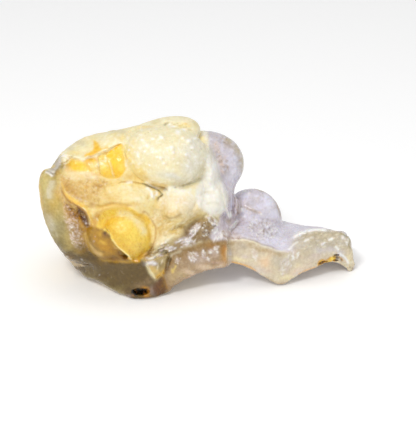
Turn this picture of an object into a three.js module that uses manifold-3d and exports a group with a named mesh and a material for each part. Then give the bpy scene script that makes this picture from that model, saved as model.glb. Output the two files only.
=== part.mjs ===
// Botryoidal chalcedony: one hand-sized specimen, grown as one piece. A cream and honey-yellow
// mass of rounded lumps sits on a broken crust, which runs out to the right as a thin, bent slab
// with two lavender bulbs on it. Millimetres; +X right, +Y to the back, +Z up. The origin is the
// middle of the flat that the stone rests on.
import * as THREE from 'three';
import { mergeVertices } from 'three/addons/utils/BufferGeometryUtils.js';
import Module from 'manifold-3d';

const wasm = await Module();
wasm.setup();

// ---- driving dimensions -----------------------------------------------------------------------

const FACET = 2.25; // side of one facet on a lump
const FRONT_TILT = THREE.MathUtils.degToRad(25); // the broken outlines are drawn looking down by this
const REACH = 60; // more than the stone measures from its middle
const POCKET_DEPTH = 1.3; // the shell that is broken away over the gold pockets
const DEEP_POCKET_DEPTH = 2.2;
const RIM_HEIGHT = 0.8; // of the rims that stand up along broken edges
const RIM_WIDTH = 1.6;
const KEEL_FACE = 14.6; // the keel's front, from the origin along the line of sight
const TONGUE_HEIGHT = 1.4; // over the keel's front
const TONGUE_ROOT = 10; // how far it reaches back into the stone
const HOLE_DEPTH = 4;
const PIMPLE_RADII = [0.9, 1.1, 1.3]; // taken in turn
const PIMPLE_SUNK = 0.55; // share of its radius that a pimple's centre lies under the skin
const SMALLEST_RADIUS = 0.3;
const UNDERSIDE_BOW = 0.6; // how much of a slab's bow its underside has
const SHORTEST_EDGE = 0.5; // shorter ones are slivers left by the cuts
const SLIVER_AREA = 0.02;
const LEAST_COSINE = 0.3; // a face may turn so far when a sliver beside it is closed
const ICOSAHEDRON_EDGE = 1.05; // of one with a radius of 1

// ---- lumps: centre, radii along their own x, y and z, and lean about y in degrees ---------------

// The cream and yellow mass, from its core outwards.
const MASS = {
  core: { at: [-3, 4, 21], radii: [19, 15, 16] },
  lowerCore: { at: [-5, 1, 12], radii: [13.5, 14, 8.5] },
  bowl: { at: [-9.5, 3, 7], radii: [13, 15, 6], lean: 33 },
  collar: { at: [-6.5, -6, 20], radii: [11.5, 8.2, 6.8] },
  middleBand: { at: [-9.5, -4, 27.5], radii: [14.5, 9, 5], lean: 6 },
  middleLeft: { at: [-16, -5, 29], radii: [8, 8, 5], lean: 10 },
  middleDome: { at: [-5.5, -7, 27.5], radii: [7.5, 5.5, 3.2], lean: 3 },
  middleRight: { at: [9, -6, 25.5], radii: [5.5, 7, 4.5] },
  shoulder: { at: [13.5, -1.5, 27], radii: [7, 9, 8] },
  underRight: { at: [6.5, -5, 17], radii: [10, 8.5, 6.5], lean: 15 },
  apron: { at: [13.5, -4, 14], radii: [9.5, 8, 4], lean: -20 },
  underKnob: { at: [16, -3.5, 19.5], radii: [5.5, 7.5, 4.5] },
  leftLobe: { at: [-23, -2, 20], radii: [5.2, 9, 15.3], lean: -18 },
  leftInner: { at: [-19.5, -1, 17], radii: [6.5, 9, 11], lean: -18 },
  leftTip: { at: [-28.2, -2, 30.5], radii: [2, 4.5, 3], lean: 6 },
  leftBack: { at: [-22, 4, 25.5], radii: [7, 8, 10] },
};

// The shell along the upper left, and the great cream bulb.
const CROWN = {
  ridgeLeft: { at: [-15.5, 2, 33], radii: [9.5, 10, 7.5], lean: -8 },
  ridgeMiddle: { at: [-4, 3, 37], radii: [12.5, 10, 7.5], lean: -10 },
  ridgeTip: { at: [-22, -1, 37.5], radii: [3, 5, 1.2], lean: -18 },
  greatRear: { at: [7.5, 4, 39], radii: [9.5, 9, 8.5] },
  greatBulb: { at: [5.5, -3, 38], radii: [11.5, 9.8, 8], lean: 8 },
};

// White column and knob, the neck and the two lavender bulbs.
const RIGHT_SIDE = {
  whiteColumn: { at: [17, 2, 33], radii: [3, 8, 7], lean: -6 },
  whiteKnob: { at: [18, -2, 25.5], radii: [5, 8, 5.5], lean: -8 },
  glassyKnob: { at: [18.5, -5, 18.5], radii: [1.7, 3, 2] },
  drip: { at: [20, -5, 15.5], radii: [2.5, 4, 2], lean: -20 },
  tallBulb: { at: [16.7, 6, 32.2], radii: [10.4, 8, 9.3] },
  neck: { at: [21.5, 3, 19.5], radii: [3, 6, 11.5] },
  roundBulb: { at: [29, 9, 11.6], radii: [9.2, 8, 10.9] },
};

// The hidden side.
const BACK = {
  backHighLeft: { at: [-17, 11, 22], radii: [10, 8, 12] },
  backHighMiddle: { at: [-4, 15, 26], radii: [10, 8, 11] },
  backHighRight: { at: [8, 14, 22], radii: [9, 8, 11] },
  backLowLeft: { at: [-11, 17, 12], radii: [10, 7, 9] },
  backLowMiddle: { at: [3, 18, 9], radii: [10, 7, 8] },
  backLowRight: { at: [15.5, 14.5, 11], radii: [9.5, 8, 8] },
  backCorner: { at: [-22, 9, 12.5], radii: [7, 7.5, 8.5] },
  backSaddle: { at: [15, 8, 30], radii: [8, 7, 9] },
  backCrustNear: { at: [27, 17, 8], radii: [8, 6, 6] },
  backCrustMiddle: { at: [38, 17, 5], radii: [7, 6, 5] },
  backCrustEnd: { at: [49, 13, 4], radii: [6, 5, 4] },
};

// The honey-yellow dome is broken open at its left, over an inner ball.
const INNER_BALL = { at: [-11.5, -7.5, 14.5], radii: [7, 6.5, 6.5] };
const YELLOW_DOME = { at: [-5.5, -9.5, 17.5], radii: [7.6, 7.2, 7.5] };

// White-tipped pimples on the great bulb, as places on the front plane.
const PIMPLES = [
  [-1.9, 38.1], [0.1, 36.7], [-0.5, 35], [3.5, 39], [8.6, 40.4], [10.3, 38.4], [6.3, 35.9],
  [4.6, 32.8], [3.8, 31.4], [5.7, 30.5], [10.8, 34], [13.7, 33.3], [13.7, 38.7], [2.6, 33],
];

// ---- outlines on the front plane: x, and the height seen from the front --------------------------

const DOME_KEPT = [
  [-15, 17.5], [-13.5, 14], [-12.5, 13], [-11.5, 12.8], [-10.7, 11.7], [-10.4, 10.5], [-9.3, 9],
  [-8, 7.5], [-6.5, 6.4], [-5.3, 5.5], [-4.2, 4.3], [-2, 2], [5, 4], [6.5, 14.5], [1, 23], [-11, 23],
];
const GOLD_RIGHT = [
  [-11.5, 34.9], [-10.9, 35.7], [-9.6, 36.5], [-7.9, 37.1], [-6.8, 35.9], [-6.3, 34.2],
  [-6.2, 32.4], [-6, 30.7], [-7.2, 28.8], [-8.7, 27.9], [-9.6, 28.7], [-10.4, 30.5], [-11.2, 32.2],
];
const GOLD_MIDDLE = [
  [-13.4, 34.8], [-11.5, 34.7], [-11.2, 32.2], [-10.4, 30.5], [-9.6, 28.7], [-9.9, 27.6],
  [-12.2, 28], [-13.3, 28.8], [-13.7, 30.1], [-13.1, 31.4], [-13.7, 33.1],
];
const GOLD_LEFT = [
  [-23.2, 33.5], [-21.5, 33.1], [-18.1, 32.7], [-16.9, 30.8], [-16, 29.3], [-16, 28.3],
  [-20.6, 29.1], [-23, 31],
];
const BROWN_CAVITY = [
  [-20.4, 19.5], [-19.2, 18.8], [-18.1, 17.9], [-17.3, 16.2], [-16.5, 14.5], [-16.4, 13],
  [-17.5, 12.6], [-18.4, 13.7], [-19.2, 15.1], [-20.1, 17.1],
];
const DARK_HOLE = [
  [-4.2, -3.9], [-3.3, -3.6], [-1.4, -3.7], [-0.1, -3.6], [0.1, -4.5], [-0.9, -5.3],
  [-2.6, -5.6], [-3.9, -5.2],
];
const TONGUE = [
  [-0.8, 4.4], [1, 3.9], [3.5, 5], [6.3, 5.8], [6, 3.8], [4.9, 0.8], [3.8, -0.2], [2.6, -0.7],
  [2.1, -1.3], [0.9, 0.3], [0, 2.2], [-0.7, 3.6],
];

// Rims that stand up along a broken edge, as the line that they follow.
const LEFT_LIP = [
  [-24.4, 25.8], [-23.2, 23.4], [-22.2, 22.1], [-20.7, 21], [-19.2, 20], [-17.8, 19], [-16.9, 17.7],
  [-16.2, 16], [-15.5, 14.5],
];
const DOME_RIM = [
  [-16.4, 15.4], [-16, 16.6], [-15.3, 17.8], [-13.8, 18.4], [-12.2, 18.7], [-10.3, 19.2], [-8, 19.4],
  [-6.1, 19.1], [-4.1, 18.6], [-2.5, 17.8], [-0.8, 17],
];

// ---- crust slabs: rows of x, front y, top z and bottom z along the front edge ----------------------

const RIGHT_CRUST_FRONT = [
  [16, -5, 13, 6], [21, -6, 13.5, 6], [24.5, -7, 14.5, 6], [29, -7, 14, 5.5], [33, -7, 12.5, 2.5],
  [38.5, -6.5, 10, 0], [42, -5.5, 11.5, 2.1], [46.5, -4, 14, 3.5], [50, -3, 14.5, 4.2],
  [54, -1, 14, 4], [57, 0.5, 11.5, 1.3], [58.5, 1.5, 8.5, 0], [59.5, 2.5, 3, 0],
];
const RIGHT_CRUST_BACK = [
  [16, 20, 11, 3], [21, 20.5, 10.7, 2.6], [24.5, 21, 10.4, 2.3], [29, 21, 10, 2], [33, 20.5, 9.5, 1.8],
  [38.5, 20, 9, 1.5], [42, 19, 8, 1.2], [46.5, 17.5, 7, 1], [50, 16.3, 7, 1],
  [54, 14.7, 6.8, 1], [57, 13.3, 6, 0.8], [58.5, 12.7, 5.5, 0.6], [59.5, 12.2, 3, 0.5],
];
const RIGHT_CRUST_ARCH = 3.5; // how far it bows up between front and back
const ARCH_FALLS = [37, 54]; // along x, where it bows less and less
const BLOCK_FRONT = [
  [4.5, -12.5, 10.5, 0.3], [6, -13.5, 12.5, 1.2], [10.5, -13.5, 14, 3.9], [16, -12, 15, 5.9],
  [22.5, -11, 15, 7],
];
const BLOCK_BACK = [
  [4.5, 12, 14, -0.5], [8, 13, 15, 0.5], [12, 13, 16, 1.5], [16.5, 12, 16, 2.5], [21, 9, 16, 3.5],
];
const KEEL_FRONT = [
  [-25.5, 6, 8, 4.2], [-23.5, 3, 8, 3.2], [-21, -1, 8.5, 2], [-18, -5, 8.5, 1.5],
  [-14.5, -9, 10, 1.9], [-10.5, -12, 11.5, 1.5], [-7, -14, 12.5, 0.8], [-4.5, -15.3, 13, 0.1],
  [-1.5, -16, 13.5, 0.1], [1, -15.5, 13.3, 0.1], [3.5, -14, 12.5, 0.3], [5.5, -12.5, 12, 1],
];
const KEEL_BACK = [
  [-26, 9, 9, 3.5], [-25, 11.5, 10, 2], [-22.5, 13.5, 11, 0.5], [-19, 15, 12, -0.5],
  [-15, 17.5, 13, -1], [-11, 19, 14, -1], [-7, 19.5, 14, -1], [-4, 19.5, 14, -1],
  [-1, 20, 14, -1], [2, 20, 14, -1], [5, 19, 14, -1], [7.5, 17.5, 13, -1],
];

// ---- solids ------------------------------------------------------------------------------------

// A closed three.js geometry as a solid that can be joined and cut.
function solid(geometry) {
  geometry.deleteAttribute('normal');
  geometry.deleteAttribute('uv');
  const merged = mergeVertices(geometry);
  const vertProperties = new Float32Array(merged.attributes.position.array);
  const triVerts = new Uint32Array(merged.index.array);
  return new wasm.Manifold(new wasm.Mesh({ numProp: 3, vertProperties, triVerts }));
}

// The solid as a geometry, with the slivers that the cuts leave closed up: each edge shorter than
// SHORTEST_EDGE is drawn together to a point, unless that would pinch the surface or fold it over.
function geometryOf(body) {
  const mesh = body.getMesh();
  const points = [];
  for (let i = 0; i < mesh.vertProperties.length; i += mesh.numProp) {
    points.push(new THREE.Vector3().fromArray(mesh.vertProperties, i));
  }
  const faces = [];
  const facesAt = points.map(() => new Set());
  for (let i = 0; i < mesh.triVerts.length; i += 3) {
    const face = [...mesh.triVerts.slice(i, i + 3)];
    faces.push(face);
    face.forEach((corner) => facesAt[corner].add(face));
  }
  const neighbours = (corner) => {
    const found = new Set([...facesAt[corner]].flat());
    found.delete(corner);
    return found;
  };
  const normal = (face, moved, spot) => {
    const [a, b, c] = face.map((corner) => (moved.includes(corner) ? spot : points[corner]));
    return new THREE.Vector3().subVectors(b, a).cross(new THREE.Vector3().subVectors(c, a));
  };
  const close = (a, b) => {
    const shared = [...neighbours(a)].filter((corner) => neighbours(b).has(corner));
    if (shared.length !== 2) return false;
    const spot = points[a].clone().lerp(points[b], 0.5);
    if (points[a].z === 0 || points[b].z === 0) spot.copy(points[a].z === 0 ? points[a] : points[b]);
    const around = [...new Set([...facesAt[a], ...facesAt[b]])];
    const kept = around.filter((face) => !(face.includes(a) && face.includes(b)));
    const folds = kept.some((face) => {
      const before = normal(face, [], spot);
      const after = normal(face, [a, b], spot);
      const least = LEAST_COSINE * before.length() * after.length();
      return before.length() > SLIVER_AREA && before.dot(after) < least;
    });
    if (folds) return false;
    around.filter((face) => !kept.includes(face)).forEach((face) => {
      face.forEach((corner) => facesAt[corner].delete(face));
      face.length = 0;
    });
    [...facesAt[b]].forEach((face) => {
      face[face.indexOf(b)] = a;
      facesAt[a].add(face);
    });
    facesAt[b].clear();
    points[a].copy(spot);
    return true;
  };
  let closed = true;
  while (closed) {
    closed = false;
    for (const face of faces) {
      for (let i = 0; i < face.length; i += 1) {
        const [a, b] = [face[i], face[(i + 1) % 3]];
        if (points[a].distanceTo(points[b]) < SHORTEST_EDGE && close(a, b)) closed = true;
      }
    }
  }
  const twins = new Map(); // two faces back to back on the same corners enclose nothing
  faces.forEach((face) => {
    const corners = [...face].sort().join();
    twins.set(corners, [...(twins.get(corners) ?? []), face]);
  });
  const kept = [...twins.values()].filter((same) => same.length === 1);
  const geometry = new THREE.BufferGeometry().setFromPoints(points);
  geometry.setIndex(kept.flat(2));
  return mergeVertices(geometry.toNonIndexed());
}

function join(bodies) {
  return bodies.reduce((whole, body) => whole.add(body));
}

// The matrix that makes an ellipsoid of a ball with a radius of 1.
function placing(at, size, lean) {
  const turn = new THREE.Quaternion().setFromAxisAngle(
    new THREE.Vector3(0, 1, 0),
    THREE.MathUtils.degToRad(lean),
  );
  return new THREE.Matrix4().compose(new THREE.Vector3(...at), turn, new THREE.Vector3(...size));
}

// An ellipsoid with facets of about one size, swollen or shrunk all round by grow.
function lump({ at, radii, lean = 0 }, grow = 0) {
  const size = radii.map((radius) => Math.max(radius + grow, SMALLEST_RADIUS));
  const mean = (size[0] + size[1] + size[2]) / 3;
  const detail = Math.max(1, Math.round((ICOSAHEDRON_EDGE * mean) / FACET - 1));
  const ball = new THREE.IcosahedronGeometry(1, detail);
  return solid(ball.applyMatrix4(placing(at, size, lean)));
}

function lumps(group, grow = 0) {
  return join(Object.values(group).map((spec) => lump(spec, grow)));
}

// An outline on the front plane, pushed through the stone along the line of sight.
const TO_FRONT_PLANE = new THREE.Matrix4().makeBasis(
  new THREE.Vector3(1, 0, 0),
  new THREE.Vector3(0, Math.sin(FRONT_TILT), Math.cos(FRONT_TILT)),
  new THREE.Vector3(0, -Math.cos(FRONT_TILT), Math.sin(FRONT_TILT)),
);

function prism(outline, from = 0, to = REACH) {
  const shape = new THREE.Shape(outline.map(([x, y]) => new THREE.Vector2(x, y)));
  const block = new THREE.ExtrudeGeometry(shape, { depth: to - from, bevelEnabled: false });
  block.translate(0, 0, from);
  block.applyMatrix4(TO_FRONT_PLANE);
  return solid(block);
}

// A low round bump on a lump's skin, seen at x and y of the front plane.
function pimple({ at, radii, lean = 0 }, [x, y], radius) {
  const matrix = placing(at, radii, lean);
  const sight = new THREE.Vector3(0, 0, -1).transformDirection(TO_FRONT_PLANE);
  const ray = new THREE.Ray(new THREE.Vector3(x, y, REACH).applyMatrix4(TO_FRONT_PLANE), sight);
  const skin = new THREE.Vector3();
  const local = ray.applyMatrix4(matrix.clone().invert());
  local.intersectSphere(new THREE.Sphere(new THREE.Vector3(), 1), skin);
  skin.applyMatrix4(matrix).addScaledVector(sight, PIMPLE_SUNK * radius);
  return lump({ at: skin.toArray(), radii: [radius, radius, radius] });
}

// A band of one width along a line on the front plane.
function band(line, width) {
  const curve = new THREE.SplineCurve(line.map(([x, y]) => new THREE.Vector2(x, y)));
  const steps = 2 * line.length;
  const left = [];
  const right = [];
  for (let i = 0; i <= steps; i += 1) {
    const at = curve.getPoint(i / steps);
    const along = curve.getTangent(i / steps);
    const half = 0.5 * width * Math.sin((Math.PI * (i + 1)) / (steps + 2)) ** 0.3;
    left.push([at.x - along.y * half, at.y + along.x * half]);
    right.unshift([at.x + along.y * half, at.y - along.x * half]);
  }
  return [...left, ...right];
}

// A slab between a front and a back edge; place(u, v, w) puts a point of the unit block in space.
function slab(place, columns, rows, layers) {
  const block = new THREE.BoxGeometry(1, 1, 1, columns, rows, layers);
  const points = block.attributes.position;
  for (let i = 0; i < points.count; i += 1) {
    const spot = place(points.getX(i) + 0.5, points.getY(i) + 0.5, points.getZ(i) + 0.5);
    points.setXYZ(i, spot[0], spot[1], spot[2]);
  }
  return solid(block);
}

// The place along a slab's edge at u from 0 to 1, smooth between the rows of its table.
function edge(rows) {
  const tops = new THREE.CatmullRomCurve3(rows.map(([x, y, top]) => new THREE.Vector3(x, y, top)));
  const bottoms = new THREE.CatmullRomCurve3(rows.map(([x, y, , low]) => new THREE.Vector3(x, y, low)));
  return (u) => {
    const top = tops.getPoint(u);
    const bottom = bottoms.getPoint(u);
    return { x: top.x, y: top.y, top: top.z, bottom: bottom.z };
  };
}

const mix = THREE.MathUtils.lerp;

// A slab of crust between its front and back edges. It bows up by arch in the middle, and its
// faces are rounded off by the radii of their upper and lower corners.
function crust(frontRows, backRows, { arch = 0, upper = 0.8, lower = 0.8, columns, rows, layers }) {
  const front = edge(frontRows);
  const back = edge(backRows);
  const place = (u, v, w) => {
    const near = front(u);
    const far = back(u);
    const x = mix(near.x, far.x, v);
    const left = THREE.MathUtils.clamp(THREE.MathUtils.inverseLerp(ARCH_FALLS[1], ARCH_FALLS[0], x), 0, 1);
    const bow = 4 * v * (1 - v) * arch * left;
    const corner = (w > 0.5 ? upper : lower) * Math.abs(2 * w - 1) ** 4;
    return [
      x,
      mix(near.y + corner, far.y - corner, v),
      mix(mix(near.bottom, far.bottom, v) + UNDERSIDE_BOW * bow, mix(near.top, far.top, v) + bow, w),
    ];
  };
  return slab(place, columns, rows, layers);
}

// ---- the stone ---------------------------------------------------------------------------------

function stone() {
  const skin = { ...MASS, ...CROWN };
  const bare = lumps(skin);

  // Shell broken away over the gold pockets, and the cavity behind the lip at the left.
  const shallow = lumps(skin, -POCKET_DEPTH);
  const deep = lumps(skin, -DEEP_POCKET_DEPTH);
  let mass = bare
    .subtract(prism(GOLD_RIGHT).subtract(shallow))
    .subtract(prism(GOLD_MIDDLE).subtract(deep))
    .subtract(prism(GOLD_LEFT).subtract(shallow))
    .subtract(prism(BROWN_CAVITY).subtract(deep));

  // Rims along the lip and round the yellow dome.
  const raised = lumps(MASS, RIM_HEIGHT);
  mass = mass.add(prism(band(LEFT_LIP, RIM_WIDTH)).intersect(raised));
  mass = mass.add(prism(band(DOME_RIM, RIM_WIDTH)).intersect(raised));

  // The inner ball, and the dome that is broken open over it.
  mass = mass.add(lump(INNER_BALL));
  mass = mass.add(lump(YELLOW_DOME).intersect(prism(DOME_KEPT)));

  // White-tipped pimples on the great bulb.
  PIMPLES.forEach((spot, i) => {
    const radius = PIMPLE_RADII[i % PIMPLE_RADII.length];
    mass = mass.add(pimple(CROWN.greatBulb, spot, radius));
  });

  // Everything at the right, the hidden side and the crust slabs.
  mass = mass.add(lumps(RIGHT_SIDE)).add(lumps(BACK));
  const slabs = [
    crust(RIGHT_CRUST_FRONT, RIGHT_CRUST_BACK, { arch: RIGHT_CRUST_ARCH, columns: 22, rows: 7, layers: 3 }),
    crust(BLOCK_FRONT, BLOCK_BACK, { upper: 3, columns: 9, rows: 6, layers: 4 }),
    crust(KEEL_FRONT, KEEL_BACK, { columns: 16, rows: 8, layers: 4 }),
  ];
  mass = mass.add(join(slabs));

  // The tongue that hangs in front of the keel, and the dark hole beside it.
  mass = mass.add(prism(TONGUE, KEEL_FACE - TONGUE_ROOT, KEEL_FACE + TONGUE_HEIGHT));
  mass = mass.subtract(prism(DARK_HOLE, KEEL_FACE - HOLE_DEPTH, REACH));

  // The flat that it rests on.
  const ground = new THREE.BoxGeometry(4 * REACH, 4 * REACH, REACH);
  ground.translate(0, 0, -REACH / 2);
  return mass.subtract(solid(ground));
}

const chalcedony = new THREE.Mesh(
  geometryOf(stone()),
  new THREE.MeshStandardMaterial({ color: 0xe9d9a8, roughness: 0.3, metalness: 0 }),
);
chalcedony.name = 'chalcedony';

const group = new THREE.Group();
group.add(chalcedony);

export default group;
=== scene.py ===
"""Botryoidal chalcedony: a cream and honey-yellow mass of rounded lumps on a broken crust, with two
lavender bulbs on the thin slab that runs out to the right.

The surface is the zero level of a distance field: lumps and slabs joined smoothly, in millimetres and
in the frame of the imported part. Low relief and colour are laid over the side that the camera sees, as
features placed on the picture plane. The hidden side gets its colours and its pimples by rule.
"""

import itertools
import math

import bpy
import numpy as np
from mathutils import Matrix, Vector


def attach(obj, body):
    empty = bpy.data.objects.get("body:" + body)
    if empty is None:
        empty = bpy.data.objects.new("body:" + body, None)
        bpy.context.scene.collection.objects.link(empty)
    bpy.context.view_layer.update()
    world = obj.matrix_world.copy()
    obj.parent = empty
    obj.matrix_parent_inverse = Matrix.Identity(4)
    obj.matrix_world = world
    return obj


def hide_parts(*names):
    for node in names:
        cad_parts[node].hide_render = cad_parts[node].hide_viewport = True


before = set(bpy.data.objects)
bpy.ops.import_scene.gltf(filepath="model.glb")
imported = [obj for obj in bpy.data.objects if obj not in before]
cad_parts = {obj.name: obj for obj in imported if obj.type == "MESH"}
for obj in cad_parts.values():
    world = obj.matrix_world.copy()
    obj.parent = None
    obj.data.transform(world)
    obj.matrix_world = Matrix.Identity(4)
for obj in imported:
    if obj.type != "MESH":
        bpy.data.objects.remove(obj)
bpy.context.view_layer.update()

# ---- camera --------------------------------------------------------------------------------------

MM = 0.001
IMAGE = (416, 437)  # pixels
PX_PER_MM = 3.522  # at the target's distance
TILT = math.radians(25.0)  # the camera looks down by this
DISTANCE = 400.0
TARGET = np.array((17.1, 0.0, 17.8))
SENSOR = 36.0
LOOK = np.array((0.0, math.cos(TILT), -math.sin(TILT)))
RIGHT = np.array((1.0, 0.0, 0.0))
UP = np.array((0.0, math.sin(TILT), math.cos(TILT)))
EYE = TARGET - DISTANCE * LOOK


def in_picture(points):
    """Where points are seen, in mm on a plane through the target, and how far behind it they lie."""
    away = points - EYE
    depth = away @ LOOK
    plane = np.stack([away @ RIGHT, away @ UP], -1) * (DISTANCE / depth)[:, None]
    return plane, depth - DISTANCE


def spot(x, y):
    """A pixel of the picture, in mm on that plane."""
    return (x - IMAGE[0] / 2) / PX_PER_MM, (IMAGE[1] / 2 - y) / PX_PER_MM


# ---- shape: lumps, each with its centre, radii, lean about y in degrees, and width of its join ---

MASS = {
    "core": ((-3, 4, 21), (19, 15, 16), 0, 0),
    "lower core": ((-5, 1, 12), (13.5, 12.3, 8.5), 0, 3),
    "middle band": ((-9.6, -4, 27.2), (14.5, 9, 5), 6, 3),
    "collar": ((-7, -6, 20), (10.6, 8.2, 6), 0, 2.5),
    "shoulder": ((12.6, -2, 27.5), (5.5, 9, 7), 0, 3),
    "left lobe": ((-22.4, -2, 19.5), (6.3, 9, 14.8), -18.5, 1.5),
    "left inner": ((-19.5, -1, 17), (6.5, 9, 11), -18, 3),
    "left tip": ((-28.1, -2, 30.3), (1.8, 4.5, 2.8), 6, 1),
    "left back": ((-22.1, 4, 25.2), (7.1, 8, 9.7), 2.5, 0.5),
    "ridge left": ((-15.6, 2, 32.6), (8, 10, 8.2), -5, 3),
    "ridge middle": ((-4.6, 3, 36), (12.1, 10, 6.9), 1.4, 4),
    "ridge tip": ((-22.2, -2, 37.6), (2.2, 3.4, 0.7), -28, 1.5),
    "ridge end": ((-21, 1, 34.6), (3.6, 6, 3.2), -20, 1.5),
    "great rear": ((2.7, 4, 39.3), (12.9, 9, 6), -21.5, 3),
    "great bulb": ((5.7, -3, 38.2), (11.7, 9.8, 8.1), 8, 0.7),
    "middle left": ((-16.2, -5, 28.9), (7.8, 8, 5), 10, 3),
    "middle dome": ((-5.3, -7, 27.9), (7.5, 5.5, 3), 3, 3),
    "middle right": ((8.8, -7, 25.3), (5.6, 7.2, 4.6), 0, 1.5),
    "white column": ((17.2, 0.5, 33), (2.8, 8, 7.1), -6, 1.5),
    "white knob": ((18.2, -2, 25.7), (4.8, 8, 5.7), -8, 1.2),
    "under right": ((6.4, -5, 17.2), (10.1, 8.5, 6.3), 15, 3),
    "apron": ((13.7, -4, 14.2), (9.6, 8, 3.8), -20, 3),
    "glassy knob": ((18.5, -5, 18.7), (1.7, 3, 2), 0, 1.5),
    "drip": ((19.9, -5, 15.6), (2.3, 4, 2.1), -20, 1.5),
    "under knob": ((16, -4, 19.2), (4.8, 7.5, 3.1), 0, 2.5),
    "tall bulb": ((16.1, 6, 32.2), (11.2, 8, 9.5), 0, 0.8),
    "neck": ((21.7, 3, 19.7), (3, 6, 11.6), 0, 2),
    "round bulb": ((29.8, 9, 12.5), (8.8, 8, 10.1), 0, 0.8),
    "bowl": ((-10.4, 3, 6.3), (13.9, 13.4, 6.1), 33, 2.5),
    "inner ball": ((-8.8, -6.2, 16.7), (9.2, 7.6, 9.2), 0, 0.4),
}
DOME = ((-5.7, -9.8, 17.6), (7.6, 7.4, 7.7), 0, 0.25)
DOME_CUT = 0.3  # how sharp its broken edge is
HIDDEN = {
    "back high left": ((-17, 11, 22), (10, 8, 12), 0, 2),
    "back high middle": ((-4, 15, 26), (10, 8, 11), 0, 1.5),
    "back high right": ((8, 14, 22), (9, 8, 11), 0, 1.5),
    "back low left": ((-11, 17, 12), (10, 7, 9), 0, 1.5),
    "back low middle": ((3, 18, 9), (10, 7, 8), 0, 1.5),
    "back low right": ((15.5, 14.5, 11), (9.5, 8, 8), 0, 2),
    "back corner": ((-22, 9, 12.5), (7, 7.5, 8.5), 0, 1.5),
    "back saddle": ((15, 8, 30), (8, 7, 9), 0, 2),
    "back crust near": ((27, 17, 8), (8, 6, 6), 0, 2),
    "back crust middle": ((38, 17, 3.4), (7, 6, 4.4), 0, 2),
    "back crust end": ((49, 13, 4), (6, 5, 4), 0, 2),
}
HOLLOWS = {
    "ball hole": ((-10.6, -15.8, 20.4), (0.8, 2.5, 1.2), -28, 0.3),
    "ball pit": ((-13.8, -15.5, 19.1), (0.8, 1.5, 0.8), -20, 0.5),
    "keel hole": ((-1.5, -16.2, 2.6), (2.5, 2.6, 1.2), 0, 0.2),
    "tip hole": ((54, -2.5, 6.7), (1, 3, 0.5), 10, 0.3),
    "tip notch": ((50.1, -3.5, 4.9), (1.6, 4, 0.6), 0, 0.4),
    "tip arch": ((53.8, -3, 4.9), (1.1, 4, 0.4), 10, 0.4),
}

# Slabs of crust, as rows of x, y, top and bottom along their front and back edges.
RIGHT_CRUST_FRONT = [
    (16, -5, 13.1, 6.2), (21, -6, 13.6, 6.4), (24.7, -7, 14.7, 6.3), (28.9, -7.6, 14.3, 5.2),
    (33, -7.9, 12.7, 2.5), (38.3, -7.6, 10.5, 0), (42, -6.2, 11.8, 1.8), (46.5, -4.3, 14.3, 3.2),
    (50, -2.8, 14.7, 4.2), (54, -1.2, 14.4, 4), (57, 0.5, 12.6, 1.3), (58.4, 1.5, 9.4, -0.5),
    (59.7, 2.5, 2.7, -0.5),
]
RIGHT_CRUST_BACK = [
    (16, 20, 11, 3), (21, 20.5, 10.7, 2.6), (24.5, 21, 10.4, 2.3), (29, 21, 10, 2),
    (33, 20.5, 8.7, 1.8), (38.5, 20, 7.6, 1.5), (42, 19, 7.2, 1.2), (46.5, 17.5, 6.7, 1),
    (50, 16.3, 7, 1), (54, 14.7, 6.8, 1), (57, 13.3, 6, 0.8), (58.5, 12.7, 5.5, 0.6),
    (59.5, 12.2, 3, 0.5),
]
BLOCK_FRONT = [
    (4.6, -12.5, 10.3, 0.2), (6, -13.5, 12.6, 1.1), (10.5, -13.4, 14.4, 3.8), (16, -12, 15.4, 5.9),
    (22.5, -11, 15.2, 6.9),
]
BLOCK_BACK = [
    (4.6, 12, 14, -0.5), (8, 13, 15, 0.5), (12, 13, 16, 1.5), (16.5, 12, 16, 2.5), (22.5, 9, 16, 3.5),
]
KEEL_FRONT = [
    (-25.4, 6, 8, 4.2), (-23.6, 3, 8, 3.2), (-21, -1, 8.4, 2), (-18, -5, 8.6, 1.6),
    (-14.3, -9, 9.6, 2.3), (-10.6, -12, 10.1, 1.4), (-7.2, -14, 10.9, 0.6), (-4.4, -15.3, 11.8, 0.1),
    (-1.6, -16, 12.6, 0.2), (1.1, -15.7, 12.8, 0.2), (3.4, -14.6, 12.6, 0.3), (5.4, -13.6, 11.9, 0.6),
    (7, -12.8, 11, 1.2),
]
KEEL_BACK = [
    (-26, 9, 9, 3.5), (-25, 11.5, 10, 2), (-22.5, 13.5, 11, 0.5), (-19, 15, 12, -0.5),
    (-15, 17.5, 13, -1), (-11, 19, 14, -1), (-7, 19.5, 14, -1), (-4, 19.5, 14, -1),
    (-1, 20, 14, -1), (2, 20, 14, -1), (5, 19, 14, -1), (7.5, 17.5, 13, -1), (9, 16.5, 12, -1),
]

# ---- palette -------------------------------------------------------------------------------------


def shade(red, green, blue):
    """A colour given in sRGB steps, as linear light."""
    steps = np.array((red, green, blue)) / 255.0
    return np.where(steps <= 0.04045, steps / 12.92, ((steps + 0.055) / 1.055) ** 2.4)


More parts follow.
